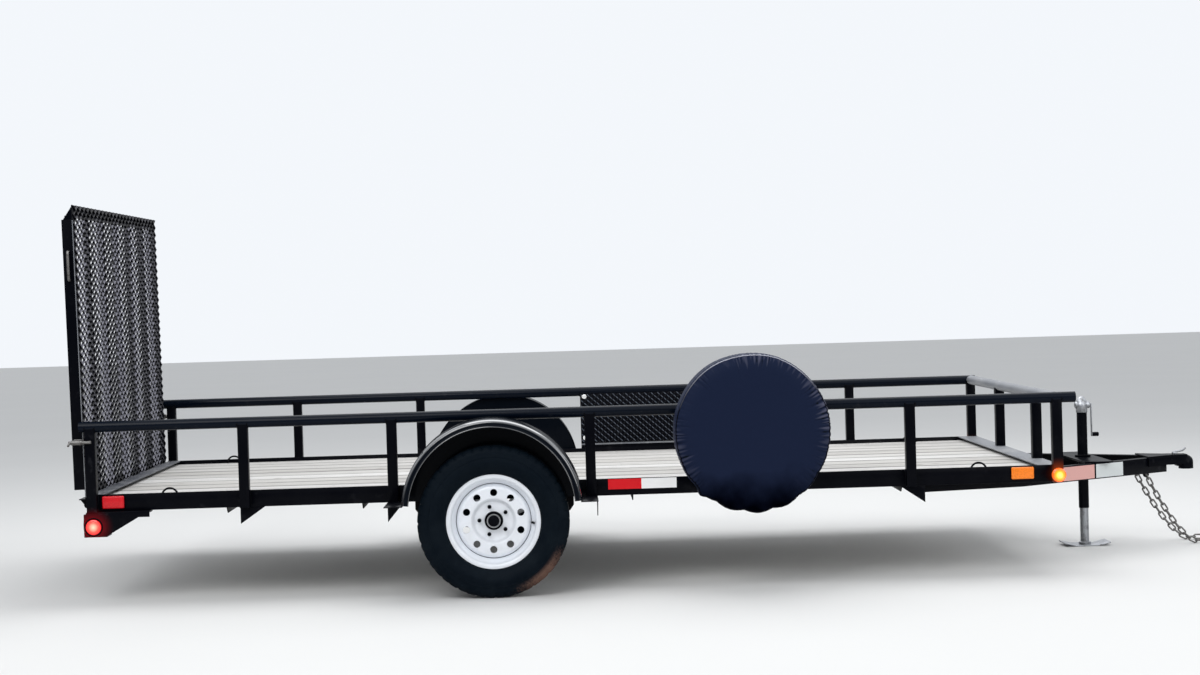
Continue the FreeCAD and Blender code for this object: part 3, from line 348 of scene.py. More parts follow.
# the pale glint colours of the gate mesh and the tread lozenges are painted highlights
meshBlack = coatedPaint("meshBlack", rough=0.35, glint=(0.19, 0.19, 0.225), dust=0.1)
plateBlack = coatedPaint("plateBlack", rough=0.4, coat=0.02, dust=0.04, cleanAbove=1.4)
lozengeBlack = coatedPaint("lozengeBlack", colour=(0.004, 0.005, 0.008), coat=0.15, dust=0.04,
                           glint=(0.085, 0.100, 0.125))
hubBlack = coatedPaint("hubBlack", rough=0.4, coat=0.0, dust=0.25, cleanAbove=0.9)
crankBlack = coatedPaint("crankBlack", rough=0.45, coat=0.0, scuff=0.2)
springBlack = coatedPaint("springBlack", colour=(0.006, 0.0055, 0.006), rough=0.6, coat=0.0, dust=0.5,
                          cleanAbove=0.7, scuff=0.4)
# pale grey steel with dust and rubbed marks; on the front header and the front top rail the grey is partly a painted
# reflection of the sky on their tops
greySteel = coatedPaint(
    "greySteel", colour=(0.145, 0.155, 0.175), underCoat=(0.42, 0.43, 0.45), dustColour=(0.42, 0.42, 0.42),
    rough=0.42, sheen=0.5, dust=0.6, cleanAbove=1.6, dustyBelow=0.3, scuff=0.7, scuffStretch=(20.0, 3.0, 20.0))
headerGrey = coatedPaint(
    "headerGrey", colour=(0.048, 0.053, 0.065), underCoat=(0.40, 0.41, 0.43), dustColour=(0.26, 0.26, 0.27),
    rough=0.4, sheen=0.3, dust=0.5, cleanAbove=1.6, dustyBelow=0.3, scuff=0.8, scuffStretch=(20.0, 3.0, 20.0))
rimWhite = coatedPaint(
    "rimWhite", colour=(0.80, 0.83, 0.88), underCoat=(0.62, 0.63, 0.65), dustColour=(0.50, 0.48, 0.45), sheen=0.5,
    coat=0.4, dust=0.25, cleanAbove=0.62, patch=16.0, scuff=0.2, wave=10.0, bump=0.12)


def platedMetal(name, colour, rough, dull, grain, stain):
    material, tree, shader, place = newMaterial(name, Metallic=1.0)
    cloud = noiseAt(tree, place, grain, 5.0, Roughness=0.6)
    fine = noiseAt(tree, place, grain * 9, 2.0)
    feed(shader, {
        "Base Color": tint(tree, ramp(tree, cloud, 0.5, 0.72), colour, stain),
        "Roughness": ramp(tree, cloud, 0.3, 0.7, rough, dull), "Normal": bump(tree, fine, 0.2, 0.0005),
    })
    return material


zincPlate = platedMetal("zincPlate", (0.36, 0.37, 0.39), 0.30, 0.5, 34.0, (0.17, 0.17, 0.17))
brightBolt = platedMetal("brightBolt", (0.98, 0.98, 0.98), 0.4, 0.5, 90.0, (0.8, 0.8, 0.8))
chainZinc = platedMetal("chainZinc", (0.17, 0.165, 0.16), 0.36, 0.6, 60.0, (0.05, 0.042, 0.038))
nutSteel = platedMetal("nutSteel", (0.50, 0.51, 0.53), 0.25, 0.45, 90.0, (0.28, 0.27, 0.26))


def rubberMaterial(values):
    material, tree, shader, place = newMaterial("tyreRubber", Specular_IOR_Level=values["sheen"])
    dust = useGroup(tree, roadDust, Place=place, Clean_Height=values["cleanAbove"], Dusty_Height=values["dustyBelow"],
                    Patch_Scale=9.0, Amount=values["dust"])["Mask"]
    onSide = ramp(tree, fromAxle(tree, axesOf(tree, place), values["axis"]), *values["shoulder"])
    mud = times(tree, onSide, useGroup(tree, driedMud, Place=place, Centre=values["mudCentre"],
                                       Reach=values["mudReach"], Speck_Scale=120.0)["Mask"])
    coated = tint(tree, dust, values["colour"], values["dustColour"])
    ripple = useGroup(tree, paintRipple, Place=place, Grain_Scale=420.0, Wave_Scale=30.0)["Height"]
    feed(shader, {
        "Base Color": tint(tree, times(tree, mud, values["mudShare"]), coated, values["mudColour"]),
        "Roughness": ramp(tree, plus(tree, dust, mud), 0.0, 1.0, 0.5, 0.95),
        "Normal": bump(tree, plus(tree, ripple, times(tree, mud, 1.5)), 0.35, 0.001),
    })
    return material


tyreRubber = rubberMaterial({
    "colour": (0.0020, 0.0045, 0.0080), "dustColour": (0.022, 0.030, 0.036), "sheen": 0.035, "dust": 0.3,
    "cleanAbove": 1.0, "dustyBelow": -0.2, "mudColour": (0.21, 0.12, 0.09), "mudShare": 0.62,
    "mudCentre": at(225, -1225, 90), "mudReach": 0.195, "axis": at(0, 0, 335), "shoulder": (0.290, 0.312),
})


def woodMaterial(values):
    material, tree, shader, place = newMaterial("deckWood", Roughness=0.82, Specular_IOR_Level=0.25)
    grain = useGroup(tree, boardGrain, Place=place, Board_Pitch=values["pitch"], First_Edge=values["firstEdge"],
                     Fibre_Scale=values["fibres"])
    colour = tint(tree, grain["Board Shade"], values["pale"], values["warm"])
    for shade, share in (
        ("grey", ramp(tree, grain["Streak"], 0.50, 0.66, 0.0, 0.6)),
        ("line", ramp(tree, grain["Fibre"], 0.55, 0.68, 0.0, 0.75)),
        ("knot", times(tree, grain["Knot"], 0.75)), ("edge", times(tree, grain["Edge"], 0.65)),
    ):
        colour = tint(tree, share, colour, values[shade])
    feed(shader, {"Base Color": colour, "Normal": bump(tree, minus(tree, 1.0, grain["Fibre"]), 0.5, 0.0015)})
    return material


plankLow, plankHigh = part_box("deck_planks")
deckValues = {
    "count": 10,
    "gap": 0.006,
    "cornerRadius": 0.004,
    "endStagger": 0.003,
    "warp": 0.0016,
    "steps": 12,
    "screwInset": 0.035,
    "screwRadius": 0.0052,
    "screwRows": 6,
    "firstRow": -1230.0,
    "rowPitch": 0.610,
}
boardPitch = (plankHigh.y - plankLow.y + deckValues["gap"]) / deckValues["count"]
# edge is the dark colour along each board's edges, partly dirt and partly painted shadow of the gaps
deckWood = woodMaterial({
    "pitch": boardPitch, "firstEdge": plankLow.y - deckValues["gap"] / 2, "fibres": 130.0,
    "pale": (0.70, 0.69, 0.675), "warm": (0.52, 0.505, 0.48), "grey": (0.36, 0.35, 0.34),
    "line": (0.17, 0.16, 0.15), "knot": (0.15, 0.12, 0.10), "edge": (0.070, 0.066, 0.062),
})


def lensMaterial(name, colour, glow):
    material, tree, shader, place = newMaterial(
        name, Roughness=0.3, Specular_IOR_Level=0.3, Coat_Weight=0.15, Coat_Roughness=0.04, Emission_Strength=glow)
    waves = noiseAt(tree, place, 260.0, 2.0)
    mixed = tint(tree, ramp(tree, waves, 0.35, 0.65), colour, [c * 0.7 for c in colour])
    feed(shader, {"Base Color": mixed, "Emission Color": mixed, "Normal": bump(tree, waves, 0.2, 0.0006)})
    return material


def litLens(name, edge, middle, core):
    # a lens with a lamp on behind it: the mesh says how near each place is to the lamp's own middle
    material, tree, shader, place = newMaterial(name, Roughness=0.2, Coat_Weight=0.3, Emission_Strength=1.0)
    near = carried(tree, "core")
    outer = tint(tree, ramp(tree, near, 0.1, 0.6), edge, middle)
    feed(shader, {"Base Color": outer, "Emission Color": tint(tree, ramp(tree, near, 0.45, 0.95), outer, core)})
    return material


redLens = lensMaterial("redLens", (0.62, 0.005, 0.012), 0.18)
redGlow = litLens("redGlow", (0.55, 0.008, 0.010), (0.98, 0.09, 0.06), (1.0, 0.72, 0.50))
amberLens = lensMaterial("amberLens", (0.92, 0.22, 0.012), 0.20)
amberGlow = litLens("amberGlow", (0.70, 0.10, 0.01), (1.0, 0.42, 0.015), (1.0, 0.88, 0.30))


def tapeMaterial(name, colour, cell, glow=0.0):  # painted light: a faint emission, where glow is given, stands in for the light that reflective tape sends back
    material, tree, shader, place = newMaterial(
        name, Roughness=0.4, Specular_IOR_Level=0.2, Coat_Weight=0.1, Emission_Color=(*colour, 1),
        Emission_Strength=glow)
    comb = cellsAt(tree, place, cell, Randomness=0.0)
    share = times(tree, ramp(tree, comb, 0.35, 0.6), 0.4)
    feed(shader, {
        "Base Color": tint(tree, share, colour, [c * 0.6 for c in colour]), "Normal": bump(tree, comb, 0.15, 0.0004),
    })
    return material


tapeRed = tapeMaterial("tapeRed", (0.84, 0.004, 0.012), 260.0)
# painted light: the white tape glows a little
tapeWhite = tapeMaterial("tapeWhite", (0.93, 0.93, 0.93), 260.0, 0.16)
stickerPink = tapeMaterial("stickerPink", (0.80, 0.44, 0.40), 400.0)
stickerWhite = tapeMaterial("stickerWhite", (0.72, 0.76, 0.76), 400.0)


def vinylMaterial(name, values):
    material, tree, shader, place = newMaterial(
        name, Roughness=values["rough"], Coat_Weight=values["coat"], Coat_Roughness=0.25)
    grain = cellsAt(tree, place, values["grain"])
    swell = noiseAt(tree, place, 5.0, 3.0)
    # painted light: the cloth is near black low down and paler high up, and its specular level is cut low down,
    # standing in for light from above
    height = axesOf(tree, place)["Z"]
    litByHeight = ramp(tree, plus(tree, height, times(tree, swell, 0.3)), *values["heightRamp"])
    base = tint(tree, litByHeight, values["colour"], values["paler"])
    if values["folds"]:  # painted shade in the creases, and painted highlight on the ridges high up
        foldShading = carried(tree, "foldShading")
        base = tint(tree, ramp(tree, foldShading, 0.5, 0.0, 0.0, 0.9), base, values["crease"])
        lit = times(tree, ramp(tree, foldShading, 0.58, 1.0, 0.0, values["folds"]), ramp(tree, height, 0.45, 0.85))
        base = tint(tree, lit, base, values["ridgeHighlight"])
    feed(shader, {
        "Base Color": base, "Specular IOR Level": times(tree, litByHeight, values["sheen"]),
        "Normal": bump(tree, plus(tree, times(tree, grain, 0.5), swell), 0.35, 0.0008),
    })
    return material


# colour is the painted shade low on the cover and paler the lit navy high up
vinylValues = {
    "colour": (0.0002, 0.0003, 0.0016), "paler": (0.0078, 0.0130, 0.0350), "heightRamp": (0.50, 0.68), "rough": 0.5,
    # the crease and ridge colours are painted shade and painted highlight on the folds
    "sheen": 0.045, "coat": 0.0, "grain": 420.0, "folds": 0.85, "crease": (0.0003, 0.0003, 0.0012),
    "ridgeHighlight": (0.115, 0.118, 0.170),
}
coverVinyl = vinylMaterial("coverVinyl", vinylValues)
# painted highlight: the piping turns pale only along its top
pipingVinyl = vinylMaterial("pipingVinyl", {
    **vinylValues, "rough": 0.35, "coat": 0.1, "folds": 0, "paler": (0.45, 0.46, 0.54), "heightRamp": (0.98, 1.22),
})
print("materials built")


# mesh helpers: each one adds to a bmesh and hands it back
def polar(radius, angle, height):  # millimetres
    return Vector((radius * math.cos(angle), radius * math.sin(angle), height)) / 1000


def addBand(bm, first, second, closed=True):  # faces between two rows of vertices
    for j in range(len(first) - (0 if closed else 1)):
        k = (j + 1) % len(first)
        bm.faces.new((first[j], second[j], second[k], first[k]))


def addTurned(bm, outline, matrix, steps, closed=True, dent=None, span=None):
    # outline: (height, radius) pairs in millimetres, turned about the matrix's own Z, all round or over a span
    first, last = span or (0, 2 * math.pi)
    rows = []
    for i in range(steps + 1 if span else steps):
        angle = first + (last - first) * i / steps
        row = [dent(i, angle, *pair) for pair in outline] if dent else outline
        rows.append([bm.verts.new(matrix @ polar(radius, angle, height)) for height, radius in row])
    for here, there in zip(rows, rows[1:] if span else rows[1:] + rows[:1]):
        addBand(bm, here, there, closed)
    if span:
        bm.faces.new(rows[0])
        bm.faces.new(rows[-1][::-1])
    return bm


def addTube(bm, points, radius, sides=16, wall=0.0):
    # a round bar, or a pipe where it has a wall, through points in metres
    tangents = [(after - before).normalized()
                for before, after in zip(points[:1] + points[:-1], points[1:] + points[-1:])]
    side = tangents[0].orthogonal().normalized()
    rings = []
    for point, tangent in zip(points, tangents):
        side = (side - tangent * side.dot(tangent)).normalized()
        other = tangent.cross(side)
        ways = [side * math.cos(a) + other * math.sin(a) for a in (2 * math.pi * k / sides for k in range(sides))]
        radii = (radius, radius - wall) if wall else (radius,)
        rings.append([[bm.verts.new(point + way * r) for way in ways] for r in radii])
    for here, there in zip(rings, rings[1:]):
        for near, far in zip(here, there):
            addBand(bm, far, near)
    for ring in (rings[0], rings[-1]):
        if wall:
            addBand(bm, ring[1], ring[0])
        else:
            bm.faces.new(ring[0])
    return bm


def addBox(bm, low, high):
    matrix = Matrix.Translation((low + high) / 2) @ Matrix.Diagonal((*(high - low), 1))
    bmesh.ops.create_cube(bm, size=1, matrix=matrix)
    return bm


def addSideBox(bm, side, xs, ys, zs):  # millimetres, given for the left side and mirrored for the right
    y0, y1 = sorted((side * ys[0], side * ys[1]))
    return addBox(bm, at(xs[0], y0, zs[0]), at(xs[1], y1, zs[1]))


def addSlab(bm, outline, shift):  # a flat outline of points pushed along a vector
    near = [bm.verts.new(p) for p in outline]
    far = [bm.verts.new(p + shift) for p in outline]
    bm.faces.new(near[::-1])
    bm.faces.new(far)
    addBand(bm, far, near)
    return bm


def roundOutline(height, radius, high, wide, count=8):  # a small round section to turn into a bead
    angles = [2 * math.pi * k / count for k in range(count)]
    return [(height + high * math.sin(a), radius + wide * math.cos(a)) for a in angles]


def facing(place, direction):
    return Matrix.Translation(place) @ Vector(direction).to_track_quat("Z", "Y").to_matrix().to_4x4()


def wheelPlace(centre, side):  # local Z points away from the bed, angles run from straight up to the front
    turn = Matrix(((0, 1, 0), (0, 0, side), (1, 0, 0)))
    return Matrix.Translation(centre) @ turn.to_4x4()


def roundEdges(bm, width, segments=2, angle=30):
    bm.normal_update()
    sharp = [e for e in bm.edges if len(e.link_faces) == 2 and e.calc_face_angle(0) > math.radians(angle)]
    bmesh.ops.bevel(bm, geom=sharp, offset=width, offset_type="OFFSET", segments=segments, profile=0.5,
                    affect="EDGES", clamp_overlap=True)
    return bm


def meshOf(bm, name, angle=38, mend=True):
    if mend:
        bmesh.ops.remove_doubles(bm, verts=bm.verts, dist=0.000002)
        bmesh.ops.recalc_face_normals(bm, faces=bm.faces)
    bm.normal_update()
    for face in bm.faces:
        face.smooth = True
    for edge in bm.edges:
        if len(edge.link_faces) == 2:
            edge.smooth = edge.calc_face_angle(0) < math.radians(angle)
    mesh = bpy.data.meshes.new(name)
    bm.to_mesh(mesh)
    bm.free()
    return mesh


def piece(name, shape, slotName, material, *nodes, body="trailer", angle=38):
    # the shape is a bmesh or a finished mesh
    mesh = meshOf(shape, name, angle) if isinstance(shape, bmesh.types.BMesh) else shape
    mesh.materials.clear()
    mesh.materials.append(material)
    made = newObject(name, mesh)
    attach(made, body)
    if nodes:
        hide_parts(*nodes)


def softCopy(node, width, material, slotName, body="trailer", segments=2, angle=30):
    # the CAD node with its hard edges rounded, so that they catch light
    bm = bmesh.new()
    bm.from_mesh(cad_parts[node].data)
    bmesh.ops.remove_doubles(bm, verts=bm.verts, dist=0.00001)
    bmesh.ops.dissolve_limit(bm, angle_limit=math.radians(0.6), verts=bm.verts, edges=bm.edges)
    roundEdges(bm, width, segments, angle)
    piece(node + "_soft", meshOf(bm, node + "_soft", mend=False), slotName, material, node, body=body)


def dress(node, material):
    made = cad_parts[node]
    if not made.material_slots:
        made.data.materials.append(material)
    for held in made.material_slots:
        held.link = "OBJECT"
        held.material = material


def carry(mesh, label, values):  # a value for each vertex, for a material to read
    mesh.attributes.new(label, "FLOAT", "POINT").data.foreach_set("value", values)
    return mesh


# geometry node helpers
def newTree(name, inputs):
    tree = bpy.data.node_groups.new(name, "GeometryNodeTree")
    tree.interface.new_socket("Geometry", in_out="INPUT", socket_type="NodeSocketGeometry")
    addInputs(tree, inputs)
    tree.interface.new_socket("Material", in_out="INPUT", socket_type="NodeSocketMaterial")
    tree.interface.new_socket("Geometry", in_out="OUTPUT", socket_type="NodeSocketGeometry")
    return tree, tree.nodes.new("NodeGroupInput").outputs, tree.nodes.new("NodeGroupOutput")


def closeTree(tree, given, result, points, shape, **turn):  # sets the shape on the points and makes it all real
    spread = put(tree, "GeometryNodeInstanceOnPoints", {"Points": points, "Instance": shape, **turn})
    real = put(tree, "GeometryNodeRealizeInstances", {"Geometry": spread.outputs[0]})
    painted = put(tree, "GeometryNodeSetMaterial", {"Geometry": real.outputs[0], "Material": given["Material"]})
    feed(result, {"Geometry": painted.outputs[0]})
    return tree


def turned(tree, rotation, own):
    made = put(tree, "FunctionNodeRotateRotation", {"Rotation": rotation, "Rotate By": own}, rotation_space="LOCAL")
    return made.outputs[0]


def checkered(tree, given):  # a grid of points, and 1 on every other one of them
    grid = put(tree, "GeometryNodeMeshGrid", {
        "Size X": given["Width"], "Vertices X": given["Columns"],
        "Size Y": given["Height"], "Vertices Y": given["Rows"],
    })
    index = put(tree, "GeometryNodeInputIndex").outputs[0]
    column = calc(tree, "FLOOR", calc(tree, "DIVIDE", index, given["Rows"]))
    row = minus(tree, index, times(tree, column, given["Rows"]))
    return grid.outputs["Mesh"], calc(tree, "MODULO", plus(tree, column, row), 2.0)


def markPaintedGlint(tree, points, value):
    return put(tree, "GeometryNodeStoreNamedAttribute", {"Geometry": points, "Name": "glint", "Value": value},
               data_type="FLOAT", domain="POINT").outputs[0]


def grow(name, source, tree, material, angle=38, **values):
    # runs a tree on a mesh or curve and keeps the result as a plain mesh
    carrier = newObject(name, source)
    modifier = carrier.modifiers.new(tree.name, "NODES")
    modifier.node_group = tree
    sockets = {item.name: item.identifier for item in tree.interface.items_tree
               if item.item_type == "SOCKET" and item.in_out == "INPUT"}
    for label, value in values.items():
        modifier[sockets[label.replace("_", " ")]] = value
    modifier[sockets["Material"]] = material
    evaluated = carrier.evaluated_get(bpy.context.evaluated_depsgraph_get())
    mesh = bpy.data.meshes.new_from_object(evaluated)
    bpy.data.objects.remove(carrier)
    bm = bmesh.new()
    bm.from_mesh(mesh)
    return meshOf(bm, name, angle, mend=False)


def headTree():  # bolt heads, nuts and screws on points that carry the way each one faces
    tree, given, result = newTree("boltHeads", {
        "Sides": 6, "Head Radius": 0.01, "Head Height": 0.007, "Washer Radius": 0.013, "Washer Height": 0.002,
        "Stud Radius": 0.004, "Stud Height": 0.012,
    })
    whole = put(tree, "GeometryNodeJoinGeometry")
    kinds = (("Head", given["Sides"], given["Washer Height"]), ("Washer", 20, 0.0), ("Stud", 12, 0.0))
    for part, corners, foot in kinds:
        height = given[part + " Height"]
        disc = put(tree, "GeometryNodeMeshCylinder", {
            "Vertices": corners, "Radius": given[part + " Radius"], "Depth": height,
        })
        lift = vectorFrom(tree, Z=plus(tree, times(tree, height, 0.5), foot))
        moved = put(tree, "GeometryNodeTransform", {"Geometry": disc.outputs["Mesh"], "Translation": lift})
        feed(whole, {0: moved.outputs[0]})
    way = put(tree, "GeometryNodeInputNamedAttribute", {"Name": "facing"}, data_type="FLOAT_VECTOR")
    turn = put(tree, "FunctionNodeAlignRotationToVector", {"Vector": way.outputs["Attribute"]}, axis="Z")
    spin = put(tree, "FunctionNodeRandomValue", {"Min": 0.0, "Max": 1.0, "Seed": 7}, data_type="FLOAT")
    own = vectorFrom(tree, Z=[o for o in spin.outputs if o.enabled][0])
    return closeTree(tree, given, result, given["Geometry"], whole.outputs[0],
                     Rotation=turned(tree, turn.outputs[0], own))


def spotMesh(name, spots):  # points in metres, each with the way that its head faces
    mesh = bpy.data.meshes.new(name)
    mesh.from_pydata([place for place, way in spots], [], [])
    attribute = mesh.attributes.new("facing", "FLOAT_VECTOR", "POINT")
    for i, (place, way) in enumerate(spots):
        attribute.data[i].vector = way
    return mesh


def expandedTree():  # expanded metal: strands that cross in diamonds, each with a twist
    tree, given, result = newTree("expandedMetal", {
        "Width": 1.9, "Height": 1.3, "Columns": 110, "Rows": 34, "Strand Length": 0.042, "Strand Width": 0.005,
        "Strand Thickness": 0.003, "Slope": 0.42, "Twist": 0.6, "First Upright": 0.03, "Upright Step": 0.389,
        "Rising Share": 0.5, "Dim Band": 0.05,
    })
    points, odd = checkered(tree, given)
    size = vectorFrom(tree, X=given["Strand Width"], Y=given["Strand Length"], Z=given["Strand Thickness"])
    strand = put(tree, "GeometryNodeMeshCube", {"Size": size})
    sign = minus(tree, times(tree, odd, 2.0), 1.0)
    lean = vectorFrom(tree, Z=times(tree, sign, given["Slope"]))
    twist = vectorFrom(tree, Y=times(tree, sign, given["Twist"]))
    # painted highlight: past an upright first the rising strands are marked for the painted glint, then the falling
    # ones, and less of it close to the top
    axes = axesOf(tree, put(tree, "GeometryNodeInputPosition").outputs[0])
    bay = calc(tree, "DIVIDE", minus(tree, axes["X"], given["First Upright"]), given["Upright Step"])
    phase = calc(tree, "FRACT", minus(tree, bay, 0.5))
    rising = calc(tree, "LESS_THAN", phase, given["Rising Share"])
    match = calc(tree, "COMPARE", rising, minus(tree, 1.0, odd))
    strong = plus(tree, times(tree, rising, 0.35), 0.65)
    edge = minus(tree, times(tree, given["Height"], 0.5), given["Dim Band"])
    belowTop = ramp(tree, minus(tree, axes["Y"], edge), 0.0, 0.02, 1.0, 0.12)
    marked = markPaintedGlint(tree, points, times(tree, match, strong, belowTop))
    return closeTree(tree, given, result, marked, strand.outputs["Mesh"], Rotation=turned(tree, lean, twist))


def lozengeTree():  # raised lozenges of tread plate, every other one turned across
    tree, given, result = newTree("treadLozenges", {
        "Width": 0.7, "Height": 0.26, "Columns": 30, "Rows": 12, "Length": 0.012, "Breadth": 0.0028, "Rise": 0.0016,
    })
    points, odd = checkered(tree, given)
    ball = put(tree, "GeometryNodeMeshUVSphere", {"Segments": 10, "Rings": 6, "Radius": 1.0})
    size = vectorFrom(tree, X=given["Length"], Y=given["Breadth"], Z=given["Rise"])
    lozenge = put(tree, "GeometryNodeTransform", {"Geometry": ball.outputs["Mesh"], "Scale": size})
    lean = vectorFrom(tree, Z=minus(tree, times(tree, odd, math.pi / 2), math.pi / 4))
    # painted highlight: the lozenges that lean one way are marked for the paler glint colour
    marked = markPaintedGlint(tree, points, minus(tree, 1.0, odd))
    return closeTree(tree, given, result, marked, lozenge.outputs[0], Rotation=lean)


def chainTree():  # welded links along a path, every other one on edge
    tree, given, result = newTree("chainLinks", {
        "Pitch": 0.035, "Link Length": 0.044, "Link Width": 0.02, "Wire": 0.004,
    })
    outline = put(tree, "GeometryNodeCurvePrimitiveQuadrilateral", {
        "Width": given["Link Length"], "Height": given["Link Width"],
    })
    bent = put(tree, "GeometryNodeFilletCurve", {
        "Curve": outline.outputs[0], "Radius": times(tree, given["Link Width"], 0.499), "Count": 7,
    }, mode="POLY")
    wire = put(tree, "GeometryNodeCurvePrimitiveCircle", {"Resolution": 9, "Radius": given["Wire"]})
    link = put(tree, "GeometryNodeCurveToMesh", {"Curve": bent.outputs[0], "Profile Curve": wire.outputs[0]})
    spots = put(tree, "GeometryNodeCurveToPoints", {
        "Curve": given["Geometry"], "Length": given["Pitch"],
    }, mode="LENGTH")
    index = put(tree, "GeometryNodeInputIndex").outputs[0]
    onEdge = vectorFrom(tree, X=times(tree, calc(tree, "MODULO", index, 2.0), math.pi / 2))
    along = put(tree, "FunctionNodeAlignRotationToVector", {"Vector": spots.outputs["Tangent"]}, axis="X")
    return closeTree(tree, given, result, spots.outputs["Points"], link.outputs[0],
                     Rotation=turned(tree, along.outputs[0], onEdge))


def weldTree():  # a run of overlapping weld ripples along edges
    tree, given, result = newTree("weldRipples", {"Step": 0.004, "Size": 0.004})
    path = put(tree, "GeometryNodeMeshToCurve", {"Mesh": given["Geometry"]})
    spots = put(tree, "GeometryNodeCurveToPoints", {"Curve": path.outputs[0], "Length": given["Step"]}, mode="LENGTH")
    drop = put(tree, "GeometryNodeMeshIcoSphere", {"Radius": given["Size"], "Subdivisions": 1})
    return closeTree(tree, given, result, spots.outputs["Points"], drop.outputs["Mesh"])


boltHeads = headTree()
expandedMetal = expandedTree()
treadLozenges = lozengeTree()
chainLinks = chainTree()
weldRipples = weldTree()
print("geometry node trees built")


# wheels
wheelCentres = {
    "left": (at(0, 1140, 335), 1, "wheel_left"),
    "right": (at(0, -1140, 335), -1, "wheel_right"),
    "spare": (at(1148, -1152, 696), -1, "trailer"),
}
tyreValues = {
    "steps": 240,
    "radius": 335.0,
    "shoulder": 307.0,
    "grooves": (-50, -17, 17, 50),
    "grooveHalf": 4.0,
    "grooveDepth": 7.5,
    "notchEvery": 5,
    "notchDepth": 4.5,
    "crossCut": 3.0,
}


def tyreOutline(values):
    side = [
        (65.7, 190.9), (66.6, 200.0), (69.5, 208.5), (73.5, 211.4), (76.0, 213.2), (79.5, 213.6), (84.5, 219.6),
        (91.0, 229.2), (97.0, 241.6), (100.8, 252.0), (102.3, 260.6), (102.0, 269.2), (101.0, 276.8), (99.8, 282.6),
        (100.6, 283.7), (100.6, 286.0), (99.0, 287.1), (97.8, 293.0), (96.6, 298.8), (95.6, 304.5), (94.6, 310.2),
        (92.0, 315.9), (88.5, 321.7), (84.0, 326.9), (79.5, 331.0), (74.0, 334.0),
    ]
    tread = []
    half, depth, top = values["grooveHalf"], values["grooveDepth"], values["radius"]
    for y in reversed(values["grooves"]):
        tread += [(y + half, top), (y + half - 1, top - depth), (y - half + 1, top - depth), (y - half, top)]
    return side + tread + [(-y, r) for y, r in reversed(side)]


def tyreDent(values):  # notches round the shoulders and fine cuts across the ribs
    def dent(i, angle, height, radius):
        above = (radius - values["shoulder"]) / 14
        if abs(height) > 60 and above > 0 and i % values["notchEvery"] == 0:
            radius -= values["notchDepth"] * min(1.0, above)
            height *= 1 - 0.015 * min(1.0, above)
        onRib = abs(height) < 60 and radius > values["radius"] - values["crossCut"]
        if onRib and i % (values["notchEvery"] * 2) == 0:
            radius -= values["crossCut"]
        return height, radius
    return dent


rimValues = {
    "steps": 192,
    "ventRadius": 16.5,
    "ventCircle": 125.5,
    "ventCount": 10,
    "ventOffset": 1.6,
    "ventLip": 1.7,
    "studCircle": 63.5,
    "studCount": 5,
    "studOffset": -16.0,
    "studFoot": 18.3,
    "nutRadius": 0.0078,
    "stemAngle": 94.4,
}
barrelOutline = [
    (-70, 206.5), (-69.2, 208.5), (-67.6, 209), (-66.3, 208), (-66, 204), (-66, 192.5), (-64, 190.6), (-53, 190),
    (-46, 183), (-38, 171), (-33, 168.6), (13, 168.6), (18, 171), (28, 184), (35, 190), (63, 190.4), (66, 192.5),
    (66, 204), (66.3, 208), (67.6, 209), (69.2, 208.5), (70, 206.5), (69.8, 202), (68.6, 196.5), (66.5, 190.5),
    (62, 187.2), (56, 186.3), (38, 185.8), (31, 180.5), (21, 167.5), (15, 164.6), (-34, 164.6), (-41, 168),
    (-50, 180), (-56, 185.9), (-65, 186.8), (-68.6, 191), (-69.8, 200),
]
discOutline = [
    (2, 165.5), (11, 165.9), (17, 164.6), (25, 161.8), (31.5, 157.6), (36.4, 152.6), (39, 147.5), (40, 142),
    (40, 104), (39.2, 100), (36.8, 96.6), (31, 92.6), (24, 89.2), (20, 86.4), (18.2, 83), (18, 79),
    (18, 40.5), (13, 40.5), (13, 81), (15.5, 86), (21, 91), (29, 95.8), (33.5, 99.6), (35, 104), (35, 140),
    (33.5, 146), (29, 152.5), (21, 158), (12, 161), (2, 161.5),
]
hubOutline = [
    (-45.3, 17.1), (-45.3, 37.0), (-43.5, 38.5), (-3, 43.5), (-1, 46), (-1, 75.5), (0.5, 77), (11, 77), (12.7, 75.5),
    (12.7, 39.5), (38, 39.4), (41, 38.2), (42.3, 36.0), (42, 33.6), (40.2, 32.2), (37.5, 31.4), (36.6, 29.5),
    (36.6, 25.2), (38.2, 24.2), (47, 23.6), (53, 21.6), (57.4, 18.2), (59.5, 13.6), (60, 8), (60, 0), (52, 0),
    (52, 17.1),
]
hubRingOutline = [(36.0, 24.0), (37.4, 24.4), (38.0, 26), (38.2, 30), (37.2, 31.2), (36.0, 31.2)]


def ringPlaces(radius, count, offset, height=0.0):
    return [polar(radius, math.radians(360 / count * i + offset), height) for i in range(count)]


def carve(mesh, cutter, name):
    # a boolean on a plain mesh, applied at once
    target, tool = newObject(name, mesh), newObject(name + "Cutter", cutter)
    modifier = target.modifiers.new("holes", "BOOLEAN")
    modifier.operation = "DIFFERENCE"
    modifier.solver = "EXACT"
    modifier.object = tool
    result = bpy.data.meshes.new_from_object(target.evaluated_get(bpy.context.evaluated_depsgraph_get()))
    for used in (target, tool):
        bpy.data.objects.remove(used)
    return result


